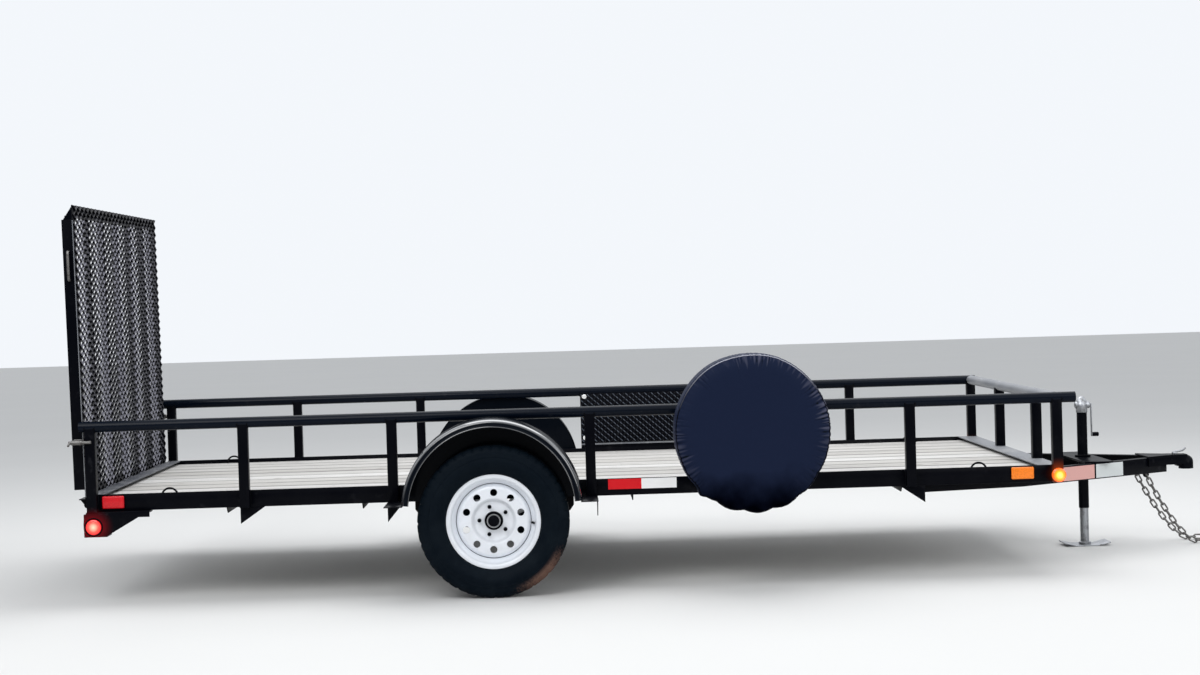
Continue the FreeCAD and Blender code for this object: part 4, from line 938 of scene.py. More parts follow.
def rimMesh(name, matrix, values):
    reach, lip = values["ventRadius"], values["ventLip"]
    vents = [matrix @ Matrix.Translation(place)
             for place in ringPlaces(values["ventCircle"], values["ventCount"], values["ventOffset"])]
    holes = bmesh.new()
    for vent in vents:
        addTurned(holes, [(20, 0), (20, reach), (55, reach), (55, 0)], vent, 40)
    disc = addTurned(bmesh.new(), discOutline, matrix, values["steps"])
    bm = bmesh.new()
    bm.from_mesh(carve(meshOf(disc, name + "Disc"), meshOf(holes, name + "Holes"), name))
    addTurned(bm, barrelOutline, matrix, values["steps"])
    for vent in vents:
        addTurned(bm, roundOutline(39.5, reach + 0.7, lip, lip, 10), vent, 36)
    addTurned(bm, roundOutline(17.6, 43.0, 2.2, 2.4, 10), matrix, 72)
    return meshOf(bm, name, angle=42)


def makeWheel(key):
    centre, side, body = wheelCentres[key]
    matrix = wheelPlace(centre, side)
    tyreNode, rimNode = ("spare_tyre", "spare_rim") if key == "spare" else ("tyre_" + key, "rim_" + key)
    tyre = addTurned(bmesh.new(), tyreOutline(tyreValues), matrix, tyreValues["steps"], dent=tyreDent(tyreValues))
    piece(tyreNode + "_rubber", tyre, "tyre_rubber", tyreRubber, tyreNode, body=body, angle=30)
    rim = rimMesh(rimNode + "_pressed", matrix, rimValues)
    piece(rimNode + "_pressed", rim, "rim_white", rimWhite, rimNode, body=body)
    if key == "spare":
        return
    hub = addTurned(bmesh.new(), hubOutline, matrix, 64)
    piece("hub_" + key + "_cap", hub, "hub_dark", hubBlack, "hub_" + key, body=body)
    ring = addTurned(bmesh.new(), hubRingOutline, matrix, 48)
    piece("hub_ring_" + key, ring, "zinc", nutSteel, body=body)
    # painted shade: a dark bead where the disc meets the barrel stands in for the shadow in that groove
    seam = addTurned(bmesh.new(), roundOutline(17.4, 166.0, 1.3, 1.3), matrix, rimValues["steps"])
    piece("rim_seam_" + key, seam, "hub_dark", hubBlack, body=body)
    spots = [(matrix @ place, (0, side, 0)) for place in ringPlaces(
        rimValues["studCircle"], rimValues["studCount"], rimValues["studOffset"], rimValues["studFoot"])]
    nuts = grow("wheelNuts_" + key, spotMesh("nutSpots", spots), boltHeads, hubBlack,
                Head_Radius=rimValues["nutRadius"], Head_Height=0.014, Washer_Radius=0.0088, Washer_Height=0.0035,
                Stud_Radius=0.0055, Stud_Height=0.0205)
    piece("wheel_nuts_" + key, nuts, "hub_dark", hubBlack, body=body)
    angle = math.radians(rimValues["stemAngle"])
    foot, tip = polar(171, angle, 20), polar(179, angle, 52)
    stem = addTube(bmesh.new(), [matrix @ foot, matrix @ foot.lerp(tip, 0.55)], 0.0052, 14)
    addTube(stem, [matrix @ foot.lerp(tip, 0.5), matrix @ tip], 0.0038, 12)
    piece("valve_stem_" + key, stem, "hub_dark", hubBlack, body=body)


for key in wheelCentres:
    makeWheel(key)
print("wheels made")


# deck
def makeDeck(values):
    bm = bmesh.new()
    width = boardPitch - values["gap"]
    for i in range(values["count"]):
        y0 = plankLow.y + i * boardPitch
        shift = abs(values["endStagger"] * noise.noise((i * 3.1, 0.4, 0.7)))
        drop = values["warp"] * abs(noise.noise((i * 1.7, 2.4, 0.1)))
        length = plankHigh.x - plankLow.x - 2 * shift
        before = set(bm.verts)
        for s in range(values["steps"]):
            x0, x1 = (plankLow.x + shift + length * t / values["steps"] for t in (s, s + 1))
            addBox(bm, Vector((x0, y0, plankLow.z)), Vector((x1, y0 + width, plankHigh.z - drop)))
        fresh = [v for v in bm.verts if v not in before]
        bmesh.ops.remove_doubles(bm, verts=fresh, dist=0.00001)
    inner = [f for f in bm.faces if all(len(e.link_faces) > 2 for e in f.edges)]
    bmesh.ops.delete(bm, geom=inner, context="FACES_ONLY")
    piece("deck_boards", roundEdges(bm, values["cornerRadius"], 3, 50), "deck_wood", deckWood, "deck_planks")
    spots = []
    for row in range(values["screwRows"]):
        x = at(values["firstRow"], 0, 0).x + row * values["rowPitch"]
        for i in range(values["count"]):
            for inset in (values["screwInset"], width - values["screwInset"]):
                sway = 0.004 * noise.noise((row * 2.3, i * 1.3, inset * 40))
                place = Vector((x + sway, plankLow.y + i * boardPitch + inset, plankHigh.z - 0.0012))
                spots.append((place, (0, 0, 1)))
    screws = grow("deckScrews", spotMesh("screwSpots", spots), boltHeads, nutSteel, Sides=12,
                  Head_Radius=values["screwRadius"], Head_Height=0.0006, Washer_Radius=values["screwRadius"] * 0.9,
                  Washer_Height=0.0002, Stud_Radius=0.001, Stud_Height=0.0004)
    piece("deck_screws", screws, "zinc", nutSteel)


makeDeck(deckValues)
print("deck made")


# frame, posts and rails
for node in ("frame_rail_left", "frame_rail_right", "crossmembers", "tongue_rail_left", "tongue_rail_right"):
    softCopy(node, 0.0018, frameBlack, "frame_black")
for node in ("jack_mount", "gussets", "spare_mount", "fender_brackets_left", "fender_brackets_right"):
    softCopy(node, 0.0008, frameBlack, "frame_black")
softCopy("rear_header", 0.002, headerGrey, "rail_grey")
# the front header's grey is partly a painted reflection of the sky on its top
softCopy("front_header", 0.002, greySteel, "rail_grey")
softCopy("gate_frame", 0.0012, gateBlack, "frame_black", "gate")

postValues = {
    "half": 22.25,
    "wall": 3.5,
    "cornerRadius": 0.0035,
    "line": 1005.25,
    "stations": (-1791.75, -1112.875, -450.0, 436.0, 1155.0, 1874.0, 2535.75),
    "bottom": 413.0,
    "top": 792.0,
    "frontBottom": 489.0,
    "frontSides": (245.0, -590.0),
}


def addPost(bm, x, y, bottom, values):
    outer, inner, top = values["half"], values["half"] - values["wall"], values["top"]
    loops = [[bm.verts.new(at(x + a * reach, y + b * reach, z)) for a, b in ((1, 1), (-1, 1), (-1, -1), (1, -1))]
             for reach, z in ((inner, bottom), (outer, bottom), (outer, top), (inner, top))]
    for low, high in zip(loops, loops[1:] + loops[:1]):
        addBand(bm, high, low)


def makePosts(values):
    rows = [("side_posts_" + label, "posts_" + label, [(x, side * values["line"]) for x in values["stations"]],
             values["bottom"]) for label, side in bothSides]
    rows.append(("front_posts", "posts_front", [(values["stations"][-1], y) for y in values["frontSides"]],
                 values["frontBottom"]))
    for name, node, places, bottom in rows:
        bm = bmesh.new()
        for x, y in places:
            addPost(bm, x, y, bottom, values)
        piece(name, roundEdges(bm, values["cornerRadius"], 3, 50), "frame_black", frameBlack, node)


railValues = {
    "radius": 0.02415,
    "wall": 0.0037,
    "sides": 48,
    "frontHalf": 0.9835,
    "axisHeight": 793.85,
    "weldRadius": 24.6,
    "weldSize": 0.0034,
    "weldStep": 0.0036,
}


def makeRails(values):
    # the front top rail's grey is partly a painted reflection of the sky on its top
    for node, material, slotName in (("top_rail_left", railBlack, "frame_black"),
                                     ("top_rail_right", railBlack, "frame_black"),
                                     ("front_top_rail", greySteel, "rail_grey")):
        low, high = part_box(node)
        middle = (low + high) / 2
        if node == "front_top_rail":
            ends = [Vector((middle.x, y, middle.z)) for y in (-values["frontHalf"], values["frontHalf"])]
        else:
            ends = [Vector((x, middle.y, middle.z)) for x in (low.x, high.x)]
        pipe = addTube(bmesh.new(), ends, values["radius"], values["sides"], values["wall"])
        piece(node + "_pipe", pipe, slotName, material, node)


def postWelds(values, posts):
    # weld runs round each post's top under the pipe, and down its sides on the rail
    mesh = bpy.data.meshes.new("weldRuns")
    points, edges = [], []
    leans = [math.radians(-80 + 20 * k) for k in range(9)]
    for label, side in bothSides:
        for x in posts["stations"]:
            for end in (x - posts["half"], x + posts["half"]):
                upright = [at(end, side * 983.5, z) for z in (415, 487)]
                saddle = [at(end, side * posts["line"] + values["weldRadius"] * math.sin(lean),
                             values["axisHeight"] - values["weldRadius"] * math.cos(lean)) for lean in leans]
                for run in (upright, saddle):
                    edges += [(len(points) + k, len(points) + k + 1) for k in range(len(run) - 1)]
                    points += run
    mesh.from_pydata(points, edges, [])
    welds = grow("postWelds", mesh, weldRipples, frameBlack, angle=80, Step=values["weldStep"],
                 Size=values["weldSize"])
    piece("post_welds", welds, "frame_black", frameBlack)


makePosts(postValues)
makeRails(railValues)
postWelds(railValues, postValues)
print("frame, posts and rails made")


# axle and springs
axleValues = {
    "height": 335,
    "beamHalf": 1092.4,
    "beamRadius": 0.030,
    "spindleHalf": 1187.8,
    "spindleRadius": 0.0169,
}


def makeAxle(values):
    bm = bmesh.new()
    for part, steps in (("beam", 40), ("spindle", 28)):
        half = values[part + "Half"]
        addTube(bm, [at(0, y, values["height"]) for y in (-half, half)], values[part + "Radius"], steps)
    piece("axle_beam", bm, "frame_black", frameBlack, "axle")


makeAxle(axleValues)
for node in ("leaf_spring_left", "leaf_spring_right", "spring_hangers_left", "spring_hangers_right"):
    dress(node, springBlack)


# fenders
fenderValues = {
    "steps": 120,
    "radius": 398.0,
    "axisX": -4.0,
    "axisHeight": 387.0,
    "footHeight": 420.6,
    "inside": 1030.0,
    "outside": 1262.0,
    "sheet": 2.5,
    "bead": 2.2,
}


def makeFender(label, side, values):
    r, inner, outer = values["radius"], values["inside"], values["outside"]
    matrix = wheelPlace(at(values["axisX"], 0, values["axisHeight"]), side)
    roll = [  # from the sheet's edge, round the shoulder and the bead and back inside
        (-24, 0), (-17.5, -0.9), (-11.5, -3.2), (-7, -7.0), (-4.2, -12), (-3.4, -17), (-3.4, -25), (-2.2, -26.8),
        (-0.6, -28.4), (0, -30.4), (-0.8, -32.4), (-2.8, -33.6), (-5.2, -33.2), (-6.4, -31), (-5.8, -28.6),
        (-5.9, -17.4), (-6.8, -12.8), (-9.2, -8.8), (-13, -5.6), (-18.4, -3.4), (-24, -values["sheet"]),
    ]
    section = [(inner, r)] + [(outer + y, r + z) for y, z in roll] + [(inner, r - values["sheet"])]
    half = math.acos((values["footHeight"] - values["axisHeight"]) / r)
    bm = addTurned(bmesh.new(), section, matrix, values["steps"], span=(-half, half))
    plate = [matrix @ polar(r * 0.9985, -half + 2 * half * i / 60, inner) for i in range(61)]
    addSlab(bm, plate, Vector((0, side * values["sheet"] / 1000, 0)))
    bead = roundOutline(inner + 3, r + 0.6, values["bead"], values["bead"])
    addTurned(bm, bead, matrix, values["steps"], span=(-half, half))
    piece("fender_" + label + "_rolled", bm, "fender_black", fenderBlack, "fender_" + label)


for label, side in bothSides:
    makeFender(label, side, fenderValues)
print("axle, springs and fenders made")


# gate
gateValues = {
    "hinge": (-1829.0, 0.0, 440.0),
    "lean": 0.8,
    "diamondHeight": 38.4,
    "diamondWidth": 80.0,
    "strandOverlap": 1.07,
    "strandWidth": 0.0114,
    "strandThickness": 0.0026,
    "twist": 1.0,
    "uprightStep": 0.389,
    "dimBand": 0.055,
    "risingShare": 0.49,
    "halfWidth": 966.0,
    "bottom": 473.0,
    "top": 1785.0,
    "sheetX": -1824.0,
    "handle": {
        "x": -1851.5, "inside": 970, "outside": 994, "low": 1450, "high": 1580, "bend": 0.016, "radius": 0.006,
    },
    "cornerPlate": {"front": -1828.0, "back": -1873.0, "low": 1719.0, "high": 1784.0, "thickness": 0.004},
    "wornEdge": {"xs": (-1830, -1826.4), "ys": (971.4, 972.2), "low": 478},
}


def gateLean(values):
    hinge = at(*values["hinge"])
    turn = Matrix.Rotation(math.radians(-values["lean"]), 4, "Y")
    return Matrix.Translation(hinge) @ turn @ Matrix.Translation(-hinge)


def makeGateMesh(values):
    across, tall = 2 * values["halfWidth"], values["top"] - values["bottom"]
    columns = int(across / (values["diamondWidth"] / 2))
    rows = int(tall / (values["diamondHeight"] / 2))
    stepX, stepZ = across / columns, tall / rows
    strands = grow("gateStrands", bpy.data.meshes.new("gateSheet"), expandedMetal, meshBlack,
                   Width=(across - stepX) / 1000, Height=(tall - stepZ) / 1000, Columns=columns, Rows=rows,
                   Strand_Length=math.hypot(stepX, stepZ) * values["strandOverlap"] / 1000,
                   Strand_Width=values["strandWidth"], Strand_Thickness=values["strandThickness"],
                   Slope=math.atan2(stepX, stepZ), Twist=values["twist"], Upright_Step=values["uprightStep"],
                   Rising_Share=values["risingShare"], Dim_Band=values["dimBand"])
    middle = at(values["sheetX"], 0, (values["bottom"] + values["top"]) / 2)
    stand = Matrix(((0, 0, 1), (1, 0, 0), (0, 1, 0))).to_4x4()
    strands.transform(gateLean(values) @ Matrix.Translation(middle) @ stand)
    piece("gate_expanded_metal", strands, "mesh_black", meshBlack, "gate_mesh", body="gate")


def bentBar(corners, bend, steps=6):
    # a path through corners with each inner one turned on a small radius
    path = [corners[0]]
    for before, corner, after in zip(corners, corners[1:], corners[2:]):
        start = corner + (before - corner).normalized() * bend
        end = corner + (after - corner).normalized() * bend
        for share in (k / steps for k in range(steps + 1)):
            path.append(start.lerp(corner, share).lerp(corner.lerp(end, share), share))
    return path + [corners[-1]]


def makeGateTrim(values):
    # the handles, a gusset in each top corner, and the bright worn edge down each side member
    handles, corners, edges = bmesh.new(), bmesh.new(), bmesh.new()
    grip, plate, edge = values["handle"], values["cornerPlate"], values["wornEdge"]
    for side in (-1, 1):
        ends = [at(grip["x"], side * grip[y], grip[z]) for y, z in (
            ("inside", "low"), ("outside", "low"), ("outside", "high"), ("inside", "high"))]
        addTube(handles, bentBar(ends, grip["bend"]), grip["radius"], 16)
        triangle = [at(plate[x], side * values["halfWidth"], plate[z]) for x, z in (
            ("front", "high"), ("front", "low"), ("back", "low"))]
        addSlab(corners, triangle, Vector((0, side * plate["thickness"], 0)))
        addSideBox(edges, side, edge["xs"], edge["ys"], (edge["low"], plate["low"]))
    for bm in (handles, corners, edges):
        bm.transform(gateLean(values))
    piece("gate_grab_handles", handles, "zinc", chainZinc, "gate_handles", body="gate")
    piece("gate_corner_plates", corners, "frame_black", gateBlack, body="gate")
    piece("gate_worn_edges", edges, "rail_grey", greySteel, body="gate")


makeGateMesh(gateValues)
makeGateTrim(gateValues)
softCopy("gate_latches", 0.0012, chainZinc, "zinc", "gate", 2, 40)
dress("gate_hinges", frameBlack)
dress("hinge_barrels", frameBlack)
print("gate made")


# tread plate panel
panelValues = {
    "sheet": 0.003,
    "margin": 0.02,
    "columns": 44,
    "rows": 17,
    "length": 0.0105,
    "breadth": 0.0026,
    "rise": 0.0014,
    "boltHeights": (544, 767.85),
    "boltStations": (436, 1155),
}


def makePanel(values):
    low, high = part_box("tread_panel")
    face = high.y - values["sheet"]
    plate = addBox(bmesh.new(), Vector((low.x, face, low.z)), high)
    piece("tread_plate", roundEdges(plate, 0.0008), "plate_black", plateBlack, "tread_panel")
    pattern = grow("treadPattern", bpy.data.meshes.new("treadGrid"), treadLozenges, lozengeBlack, angle=60,
                   Width=high.x - low.x - values["margin"], Height=high.z - low.z - values["margin"],
                   Columns=values["columns"], Rows=values["rows"], Length=values["length"],
                   Breadth=values["breadth"], Rise=values["rise"])
    stand = Matrix(((1, 0, 0), (0, 0, -1), (0, 1, 0))).to_4x4()
    pattern.transform(Matrix.Translation(Vector(((low.x + high.x) / 2, face, (low.z + high.z) / 2))) @ stand)
    piece("tread_plate_lozenges", pattern, "plate_black", lozengeBlack)
    spots = [(Vector((at(x, 0, 0).x, face, z / 1000)), (0, -1, 0))
             for x in values["boltStations"] for z in values["boltHeights"]]
    bolts = grow("panelBolts", spotMesh("panelSpots", spots), boltHeads, brightBolt, Head_Radius=0.0088,
                 Head_Height=0.005, Washer_Radius=0.0125, Washer_Height=0.0015, Stud_Radius=0.004, Stud_Height=0.0068)
    piece("panel_bolts", bolts, "zinc", brightBolt)
    # a bright lip and a dark flange hang below the plate
    lip = addBox(bmesh.new(), Vector((low.x, face - 0.0018, low.z - 0.012)),
                 Vector((high.x, face + 0.0005, low.z - 0.004)))
    piece("tread_plate_lip", lip, "rail_grey", greySteel)
    flange = addBox(bmesh.new(), Vector((low.x, face, low.z - 0.030)), Vector((high.x, high.y, low.z - 0.0002)))
    piece("tread_plate_flange", flange, "plate_black", plateBlack)


makePanel(panelValues)


# lamps, tapes and stickers
lampValues = {
    "cornerRadius": 0.006,
    "ribs": 5,
    "steps": 64,
    "redCore": 0.038,
    "amberCore": 0.032,
    # the foot's place on the left side, the way it faces there, radius, depth and the bezel's radius
    "rear": ((-1830, 971.25, 353), (-1, 0, 0), 38.0, 4, 46),
    "side": ((-1787, 1021.5, 347), (0, 1, 0), 34.0, 8, 42),
    "front": ((2535.75, 1027.5, 446), (0, 1, 0), 32.0, 20, 0),
    "markerDepth": (983.2, 995),
    "redMarker": ((-1752, -1654), (425, 481)),
    "amberMarker": ((2330, 2432), (429, 483)),
}


def lensOutline(radius, depth, ribs):
    # a round lens: a flat foot, a rounded edge and a few shallow rings on its face
    outline = [(0, radius), (depth * 0.45, radius), (depth * 0.72, radius - 1.2), (depth * 0.86, radius - 3.2)]
    for i in range(ribs):
        r = (radius - 4.5) * (1 - i / ribs)
        outline += [(depth * 0.90, r), (depth * 0.98, r - 1.0), (depth, r - 2.6)]
    return outline + [(depth, 0), (0, 0)]


def bezelOutline(radius):
    return [(-0.5, radius - 7), (1.6, radius - 7), (3.0, radius - 5), (3.0, radius - 1.5), (1.4, radius),
            (-0.5, radius)]


def makeLitLenses(name, lamps, core, slotName, material, node, values):
    bm, middles = bmesh.new(), []
    for side in (-1, 1):
        for (x, y, z), way, radius, depth, bezel in (values[lamp] for lamp in lamps):
            foot, outward = at(x, side * y, z), Vector((way[0], side * way[1], way[2]))
            addTurned(bm, lensOutline(radius, depth, values["ribs"]), facing(foot, outward), values["steps"])
            middles.append(foot + outward * depth / 1000)
    mesh = meshOf(bm, name, 25)
    away = [min((vertex.co - middle).length for middle in middles) for vertex in mesh.vertices]
    piece(name, carry(mesh, "core", [max(0.0, 1 - length / core) for length in away]), slotName, material, node)


def makeLamps(values):
    for label, side in bothSides:
        softCopy("tail_light_" + label, 0.003, frameBlack, "frame_black", segments=3)
        bezels = bmesh.new()
        for (x, y, z), way, radius, depth, bezel in (values["side"], values["rear"]):
            place = facing(at(x, side * y, z), (way[0], side * way[1], way[2]))
            addTurned(bezels, bezelOutline(bezel), place, values["steps"])
        piece("tail_lamp_bezel_" + label, bezels, "frame_black", crankBlack)
    makeLitLenses("red_lenses_lit", ("rear", "side"), values["redCore"], "red_lens", redGlow, "red_lenses",
                  values)
    makeLitLenses("amber_lamps_lit", ("front",), values["amberCore"], "amber_lens", amberGlow, "amber_lenses",
                  values)
    for colour, material in (("red", redLens), ("amber", amberLens)):
        bm = bmesh.new()
        xs, zs = values[colour + "Marker"]
        for side in (-1, 1):
            addSideBox(bm, side, xs, values["markerDepth"], zs)
        roundEdges(bm, values["cornerRadius"], 4)
        piece(colour + "_markers", bm, colour + "_lens", material, colour + "_lenses")


stripValues = {
    "tapeRed": (512, 662),
    "tapeWhite": (662, 820),
    "tapeHeights": (440, 486),
    "pinkRun": (0.545, 0.683),
    "whiteRun": (0.690, 0.806),
    "runFoot": 0.361,
    "runHeight": 0.066,
    "thickness": 0.4,
}


def makeStrips(values):
    for label, material in (("tapeRed", tapeRed), ("tapeWhite", tapeWhite)):
        bm = bmesh.new()
        for side in (-1, 1):
            addSideBox(bm, side, values[label], (983.05, 983.05 + values["thickness"]), values["tapeHeights"])
        piece("reflective_" + label, bm, "frame_black", material)
    root, tip = at(1945, -932, 0), at(3300, -48, 0)  # the right tongue rail's outer face
    along = (tip - root).normalized()
    outward = Vector((along.y, -along.x, 0))
    low, high = (Vector((0, 0, z)) for z in (values["runFoot"], values["runFoot"] + values["runHeight"]))
    for label, material in (("pinkRun", stickerPink), ("whiteRun", stickerWhite)):
        start, end = (root.lerp(tip, share) + outward * 0.0001 for share in values[label])
        face = [start + low, end + low, end + high, start + high]
        strip = addSlab(bmesh.new(), face, outward * values["thickness"] / 1000)
        piece("tongue_" + label, strip, "frame_black", material)


makeLamps(lampValues)
makeStrips(stripValues)
print("panel, lamps and strips made")


# spare wheel cover
coverValues = {
    "steps": 560,
    "halfDepth": 102.8,
    "puckers": 96,
    "puckerDepth": 9.0,
    "foldStart": 289.0,
    "foldShade": 1.0,
    "flapAngle": 221,
    "flapReach": 13.0,
    "hemDroop": 15.0,
    "hemLobes": 17.0,
    "piping": 2.4,
    # the middle of each gather in degrees, how far it spreads and how strong it is
    "gathers": ((82, 52, 1.0), (8, 40, 0.6), (242, 34, 0.7), (262, 30, 0.45), (140, 34, 0.4), (318, 20, 0.2)),
}


def limited(value):
    return min(1.0, max(0.0, value))


def gathered(angle, gathers):  # how strongly the cloth is pulled in at this angle round the cover
    total = 0.12
    for middle, spread, strength in gathers:
        away = abs((math.degrees(angle) - middle + 180) % 360 - 180) / spread
        total += strength * max(0.0, 1 - away) ** 1.2
    return min(1.0, total)


def foldAt(angle, radius, values):
    # 1 in the bottom of a crease and 0 on its ridge, how far this place is gathered, and a slow wander
    sway = noise.noise((math.cos(angle) * 7, math.sin(angle) * 7, 0.4))
    wave = math.sin(angle * values["puckers"] / 2 + 5.0 * sway + (radius - 300) * 0.006)
    wander = noise.noise((math.cos(angle) * 24, math.sin(angle) * 24, 2.9))
    reach = limited((radius - values["foldStart"] + 60 * wander) / 40)
    return 1 - abs(wave) ** 0.6, reach * gathered(angle, values["gathers"]), wander


def coverDent(values):
    def dent(i, angle, height, radius):
        if radius < 60:
            return height, radius
        below = max(0.0, -math.cos(angle))  # 1 at the bottom
        edge = limited((radius - 235) / 95)
        crease, pulled, wander = foldAt(angle, radius, values)
        slack = noise.noise((math.cos(angle) * 2.2 + 4, math.sin(angle) * 2.2, 0.3))
        scallop = abs(math.sin(angle * values["hemLobes"] / 2 + 0.4))
        flap = max(0.0, 1 - abs(math.degrees(angle) - values["flapAngle"]) / 4.5)
        radius += edge * (3.0 * slack - 4.6 - 0.4 * values["puckerDepth"] * crease * pulled)
        radius += edge * (below ** 2 * values["hemDroop"] * (0.2 + 0.8 * scallop) + flap * values["flapReach"])
        height -= values["puckerDepth"] * crease * pulled + edge * 1.0 + 1.6 * pulled * wander
        return height, radius
    return dent


def foldShades(mesh, matrix, values):  # painted shade and highlight that follow the cloth's folds
    shades = []
    for x, y, z in (matrix.inverted() @ vertex.co for vertex in mesh.vertices):
        crease, pulled, wander = foldAt(math.atan2(y, x), math.hypot(x, y) * 1000, values)
        shades.append(0.5 + pulled * (0.5 - crease) * values["foldShade"])
    return shades


def makeCover(values):
    half = values["halfDepth"]
    outer = [
        (half - 3, 0), (half - 2.4, 60), (half - 1.0, 130), (half + 0.6, 188.4), (half + 1.8, 238),
        (half + 2.0, 267.7), (half + 1.2, 287.5), (half - 1.0, 303.4), (half - 5, 317.3), (half - 9, 327.2),
        (half - 12, 333.1), (half - 16, 340.1), (half - 24, 346), (half - 40, 349), (30, 349), (0, 348.5),
        (-30, 348.5), (-half + 30, 348), (-half + 18, 344.1), (-half + 6, 333.1), (-half - 1, 315.3),
        (-half - 2.6, 287.5), (-half - 3, 259.8),
    ]
    inner = [
        (-half - 0.4, 259.8), (-half - 0.2, 287.5), (-half + 1, 313.3), (-half + 20, 339.1), (half - 26, 341.6),
        (half - 5.5, 303.4), (half - 3.6, 238), (half - 5, 60), (half - 5.5, 0),
    ]
    matrix = wheelPlace(wheelCentres["spare"][0], -1)
    bm = addTurned(bmesh.new(), outer + inner, matrix, values["steps"], closed=False, dent=coverDent(values))
    cloth = meshOf(bm, "spare_cover_vinyl", angle=60)
    carry(cloth, "foldShading", foldShades(cloth, matrix, values))
    piece("spare_cover_vinyl", cloth, "cover_vinyl", coverVinyl, "spare_cover")
    cord = roundOutline(half - 18, 342, values["piping"], values["piping"])
    piping = addTurned(bmesh.new(), cord, matrix, values["steps"], dent=coverDent(values))
    piece("spare_cover_piping", piping, "cover_vinyl", pipingVinyl, angle=60)


makeCover(coverValues)
print("spare cover made")


# tie loops
loopValues = {"stations": (-1456.0, 2189.0), "side": 954, "foot": 470, "radius": 36, "wire": 0.0045, "steps": 24}


def makeLoops(values):
    bm = bmesh.new()
    angles = [math.pi * k / values["steps"] for k in range(values["steps"] + 1)]
    for x in values["stations"]:
        for side in (-1, 1):
            path = [at(x + values["radius"] * math.cos(a), side * values["side"],
                       values["foot"] + values["radius"] * math.sin(a)) for a in angles]
            addTube(bm, path, values["wire"], 14)
    piece("tie_rings", bm, "frame_black", frameBlack, "tie_loops")


makeLoops(loopValues)


# jack
jackValues = {
    "x": 2895.0,
    "steps": 48,
    "tubeRadius": 0.025,
    "tubeWall": 0.0035,
    "legRadius": 0.0212,
    "legWall": 0.003,
    "shaftHeight": 697,
    "footWidth": 0.130,
}
jackOutlines = {
    "collar": [(440, 24.5), (440, 38.5), (448.5, 39), (450, 37.5), (450, 26), (455, 25.2)],
    "head": [(660, 0), (660, 27), (661.5, 28), (700, 28), (703, 27.2), (704.5, 26), (716, 25.6), (719, 24),
             (732, 16), (737, 11), (739, 5), (739, 0)],
    "shaft": [(-34, 0), (-34, 12), (-32, 16), (-29, 17), (34, 17), (37, 16.2), (40, 13), (40, 0)],
    "knob": [(0, 0), (0, 9), (2, 10.4), (6, 10.0), (15, 10.8), (24, 10.4), (29, 10.8), (31.5, 9.0), (32, 5),
             (32, 0)],
    "footSocket": [(6, 20.8), (6, 30.2), (16, 29.6), (18, 27), (18, 21.2)],
    "foot": [(-115, 14), (-55, 0), (55, 0), (115, 14), (115, 20), (55, 6), (-55, 6), (-115, 20)],
}


def makeJack(values, outlines):
    x, steps, shaft = values["x"], values["steps"], values["shaftHeight"]
    upright, ahead = facing(at(x, 0, 0), (0, 0, 1)), (1, 0, 0)
    tube = addTube(bmesh.new(), [at(x, 0, 186), at(x, 0, 660)], values["tubeRadius"], steps, values["tubeWall"])
    addTurned(tube, outlines["collar"], upright, steps)
    piece("jack_outer_tube", tube, "frame_black", frameBlack, "jack_tube")
    head = addTurned(bmesh.new(), outlines["head"], upright, steps)
    addTurned(head, outlines["shaft"], facing(at(x, 0, shaft), ahead), 40)
    piece("jack_gear_head", head, "zinc", zincPlate, "jack_head")
    arm = addTube(bmesh.new(), [at(x + 40, 0, shaft), at(x + 50, 0, shaft)], 0.007, 20)
    addBox(arm, at(x + 44, -9, 540), at(x + 50, 9, 705))
    piece("jack_crank_arm", roundEdges(arm, 0.0022, 3), "crank_black", zincPlate, "jack_crank")
    knob = addTurned(bmesh.new(), outlines["knob"], facing(at(x + 50, 0, 550), ahead), 32)
    piece("jack_crank_knob", knob, "crank_black", crankBlack)
    leg = addTube(bmesh.new(), [at(x, 0, 6), at(x, 0, 400)], values["legRadius"], steps, values["legWall"])
    addTurned(leg, outlines["footSocket"], upright, steps)
    edge = -values["footWidth"] * 500
    addSlab(leg, [at(x + a, edge, z) for a, z in outlines["foot"]], Vector((0, values["footWidth"], 0)))
    piece("jack_inner_leg", roundEdges(leg, 0.0016, 3, 60), "zinc", zincPlate, "jack_leg", body="jack_leg")


makeJack(jackValues, jackOutlines)
softCopy("coupler", 0.002, frameBlack, "frame_black", angle=40)
softCopy("coupler_latch", 0.0015, zincPlate, "zinc")
print("loops, jack and coupler made")


# safety chains
chainValues = {
    "start": (3182.0, 104.98, 346.0),
    "reach": 245.0,
    "inward": 26.0,
    "ground": 15.0,
    "pitch": 0.0354,
    "count": 15,
    "wire": 0.004,
    "length": 0.044,
    "width": 0.020,
    "steps": 200,
    "groundStep": 1.8,
}


def chainPath(side, values):  # falls to the ground in a curve and then runs on along it
    x, y, z = values["start"]
    drop = z - values["ground"]
    path = [at(x + values["reach"] * u, side * (y - values["inward"] * u), values["ground"] + drop * (1 - u) ** 1.5)
            for u in (i / values["steps"] for i in range(values["steps"] + 1))]
    last = path[-1]
    for s in (i * values["groundStep"] for i in range(1, values["steps"])):
        path.append(last + Vector((s, -side * (0.10 * s + 0.0002 * s * s), 0)) / 1000)
    return path


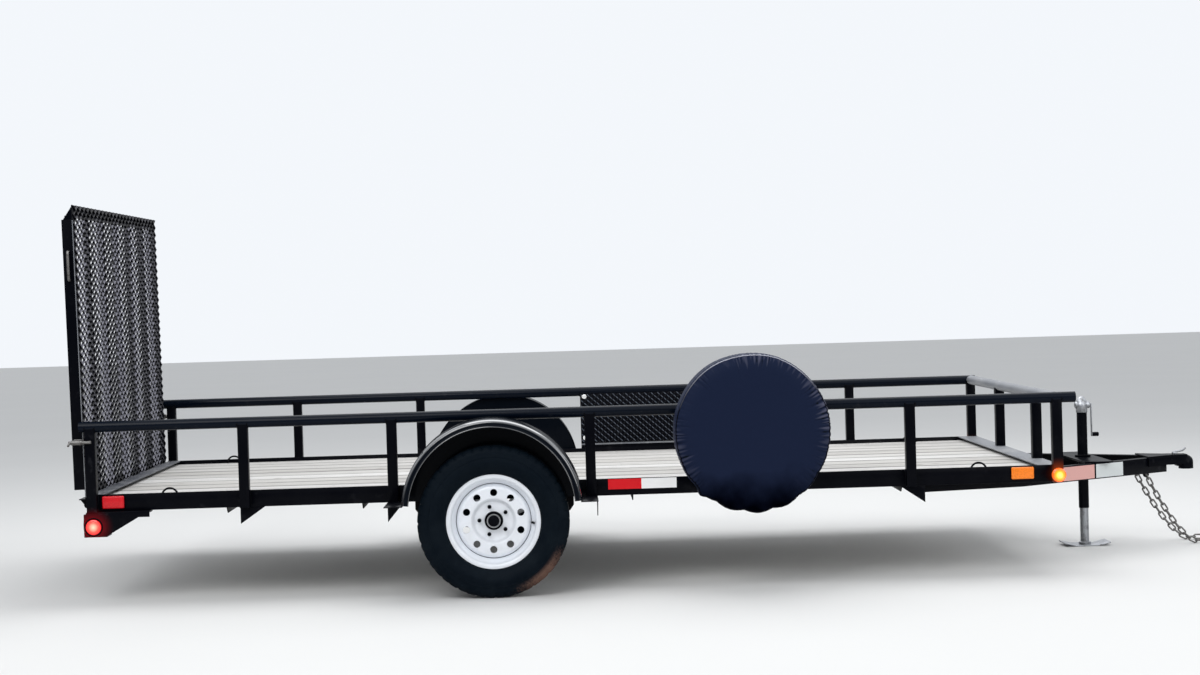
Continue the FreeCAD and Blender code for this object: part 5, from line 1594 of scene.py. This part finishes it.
def makeChains(values):
    for label, side in bothSides:
        path = chainPath(side, values)
        kept, run = path[:1], 0.0
        for before, after in zip(path, path[1:]):
            run += (after - before).length
            kept.append(after)
            if run >= values["pitch"] * (values["count"] - 0.5):
                break
        curve = bpy.data.curves.new("chainRun", "CURVE")
        curve.dimensions = "3D"
        spline = curve.splines.new("POLY")
        spline.points.add(len(kept) - 1)
        for point, place in zip(spline.points, kept):
            point.co = (*place, 1)
        links = grow("chain_" + label, curve, chainLinks, chainZinc, angle=70, Pitch=values["pitch"],
                     Link_Length=values["length"], Link_Width=values["width"], Wire=values["wire"])
        piece("safety_chain_" + label, links, "chain_steel", chainZinc, "safety_chains")


makeChains(chainValues)
dress("chain_anchors", frameBlack)
print("chains made")


# floor, light and sky
studioValues = {
    "floorLow": (-30, -30, -0.05),
    "floorHigh": (30, 40, 0.0),
    "floorColour": (0.72, 0.72, 0.71),
    "skyColour": (0.90, 0.93, 0.97),
    "skyLight": 0.62,
    "horizonSheen": 0.10,
    "zenithSheen": 1.7,
    "lamps": (  # name, place, what it points at, size and power
        ("keyPanel", (-3.5, -7.0, 6.5), (0.3, 0.0, 0.6), 5.0, 300),
        ("fillPanel", (5.5, -6.0, 3.5), (0.5, 0.0, 0.6), 4.0, 120),
        ("topPanel", (0.3, 1.5, 6.0), (0.3, 0.0, 0.5), 6.0, 260),
    ),
}


def makeFloor(values):
    mesh = meshOf(addBox(bmesh.new(), Vector(values["floorLow"]), Vector(values["floorHigh"])), "studioFloor")
    material, tree, shader, place = newMaterial("floorPale", Roughness=0.8)
    cloud = noiseAt(tree, place, 0.7, 2.0)
    paler = [c * 1.04 for c in values["floorColour"]]
    feed(shader, {"Base Color": tint(tree, cloud, values["floorColour"], paler)})
    mesh.materials.append(material)
    newObject("studioFloor", mesh)


def makeLamp(name, place, target, size, power):
    data = bpy.data.lights.new(name, "AREA")
    data.shape = "SQUARE"
    data.size = size
    data.energy = power
    newObject(name, data).matrix_world = facing(Vector(place), Vector(place) - Vector(target))


def makeSky(values):  # the camera sees the plain sky, sheen sees it brighter higher up, and the rest is soft light
    scene.world = bpy.data.worlds.new("paleSky")
    scene.world.use_nodes = True
    tree = scene.world.node_tree
    colour = (*values["skyColour"], 1)
    shown = tree.nodes["Background"]
    feed(shown, {"Color": colour, "Strength": 1.0})
    path = put(tree, "ShaderNodeLightPath").outputs
    upward = axesOf(tree, put(tree, "ShaderNodeNewGeometry").outputs["Position"])["Z"]
    sheen = ramp(tree, upward, 0.02, 0.45, values["horizonSheen"], values["zenithSheen"])
    strength = plus(tree, times(tree, path["Is Glossy Ray"], sheen),
                    times(tree, minus(tree, 1.0, path["Is Glossy Ray"]), values["skyLight"]))
    light = put(tree, "ShaderNodeBackground", {"Color": colour, "Strength": strength})
    mix = put(tree, "ShaderNodeMixShader", {0: path["Is Camera Ray"], 1: light.outputs[0], 2: shown.outputs[0]})
    feed(tree.nodes["World Output"], {"Surface": mix.outputs[0]})


makeFloor(studioValues)
for lamp in studioValues["lamps"]:
    makeLamp(*lamp)
makeSky(studioValues)
scene.view_settings.view_transform = "Standard"
print("studio made")
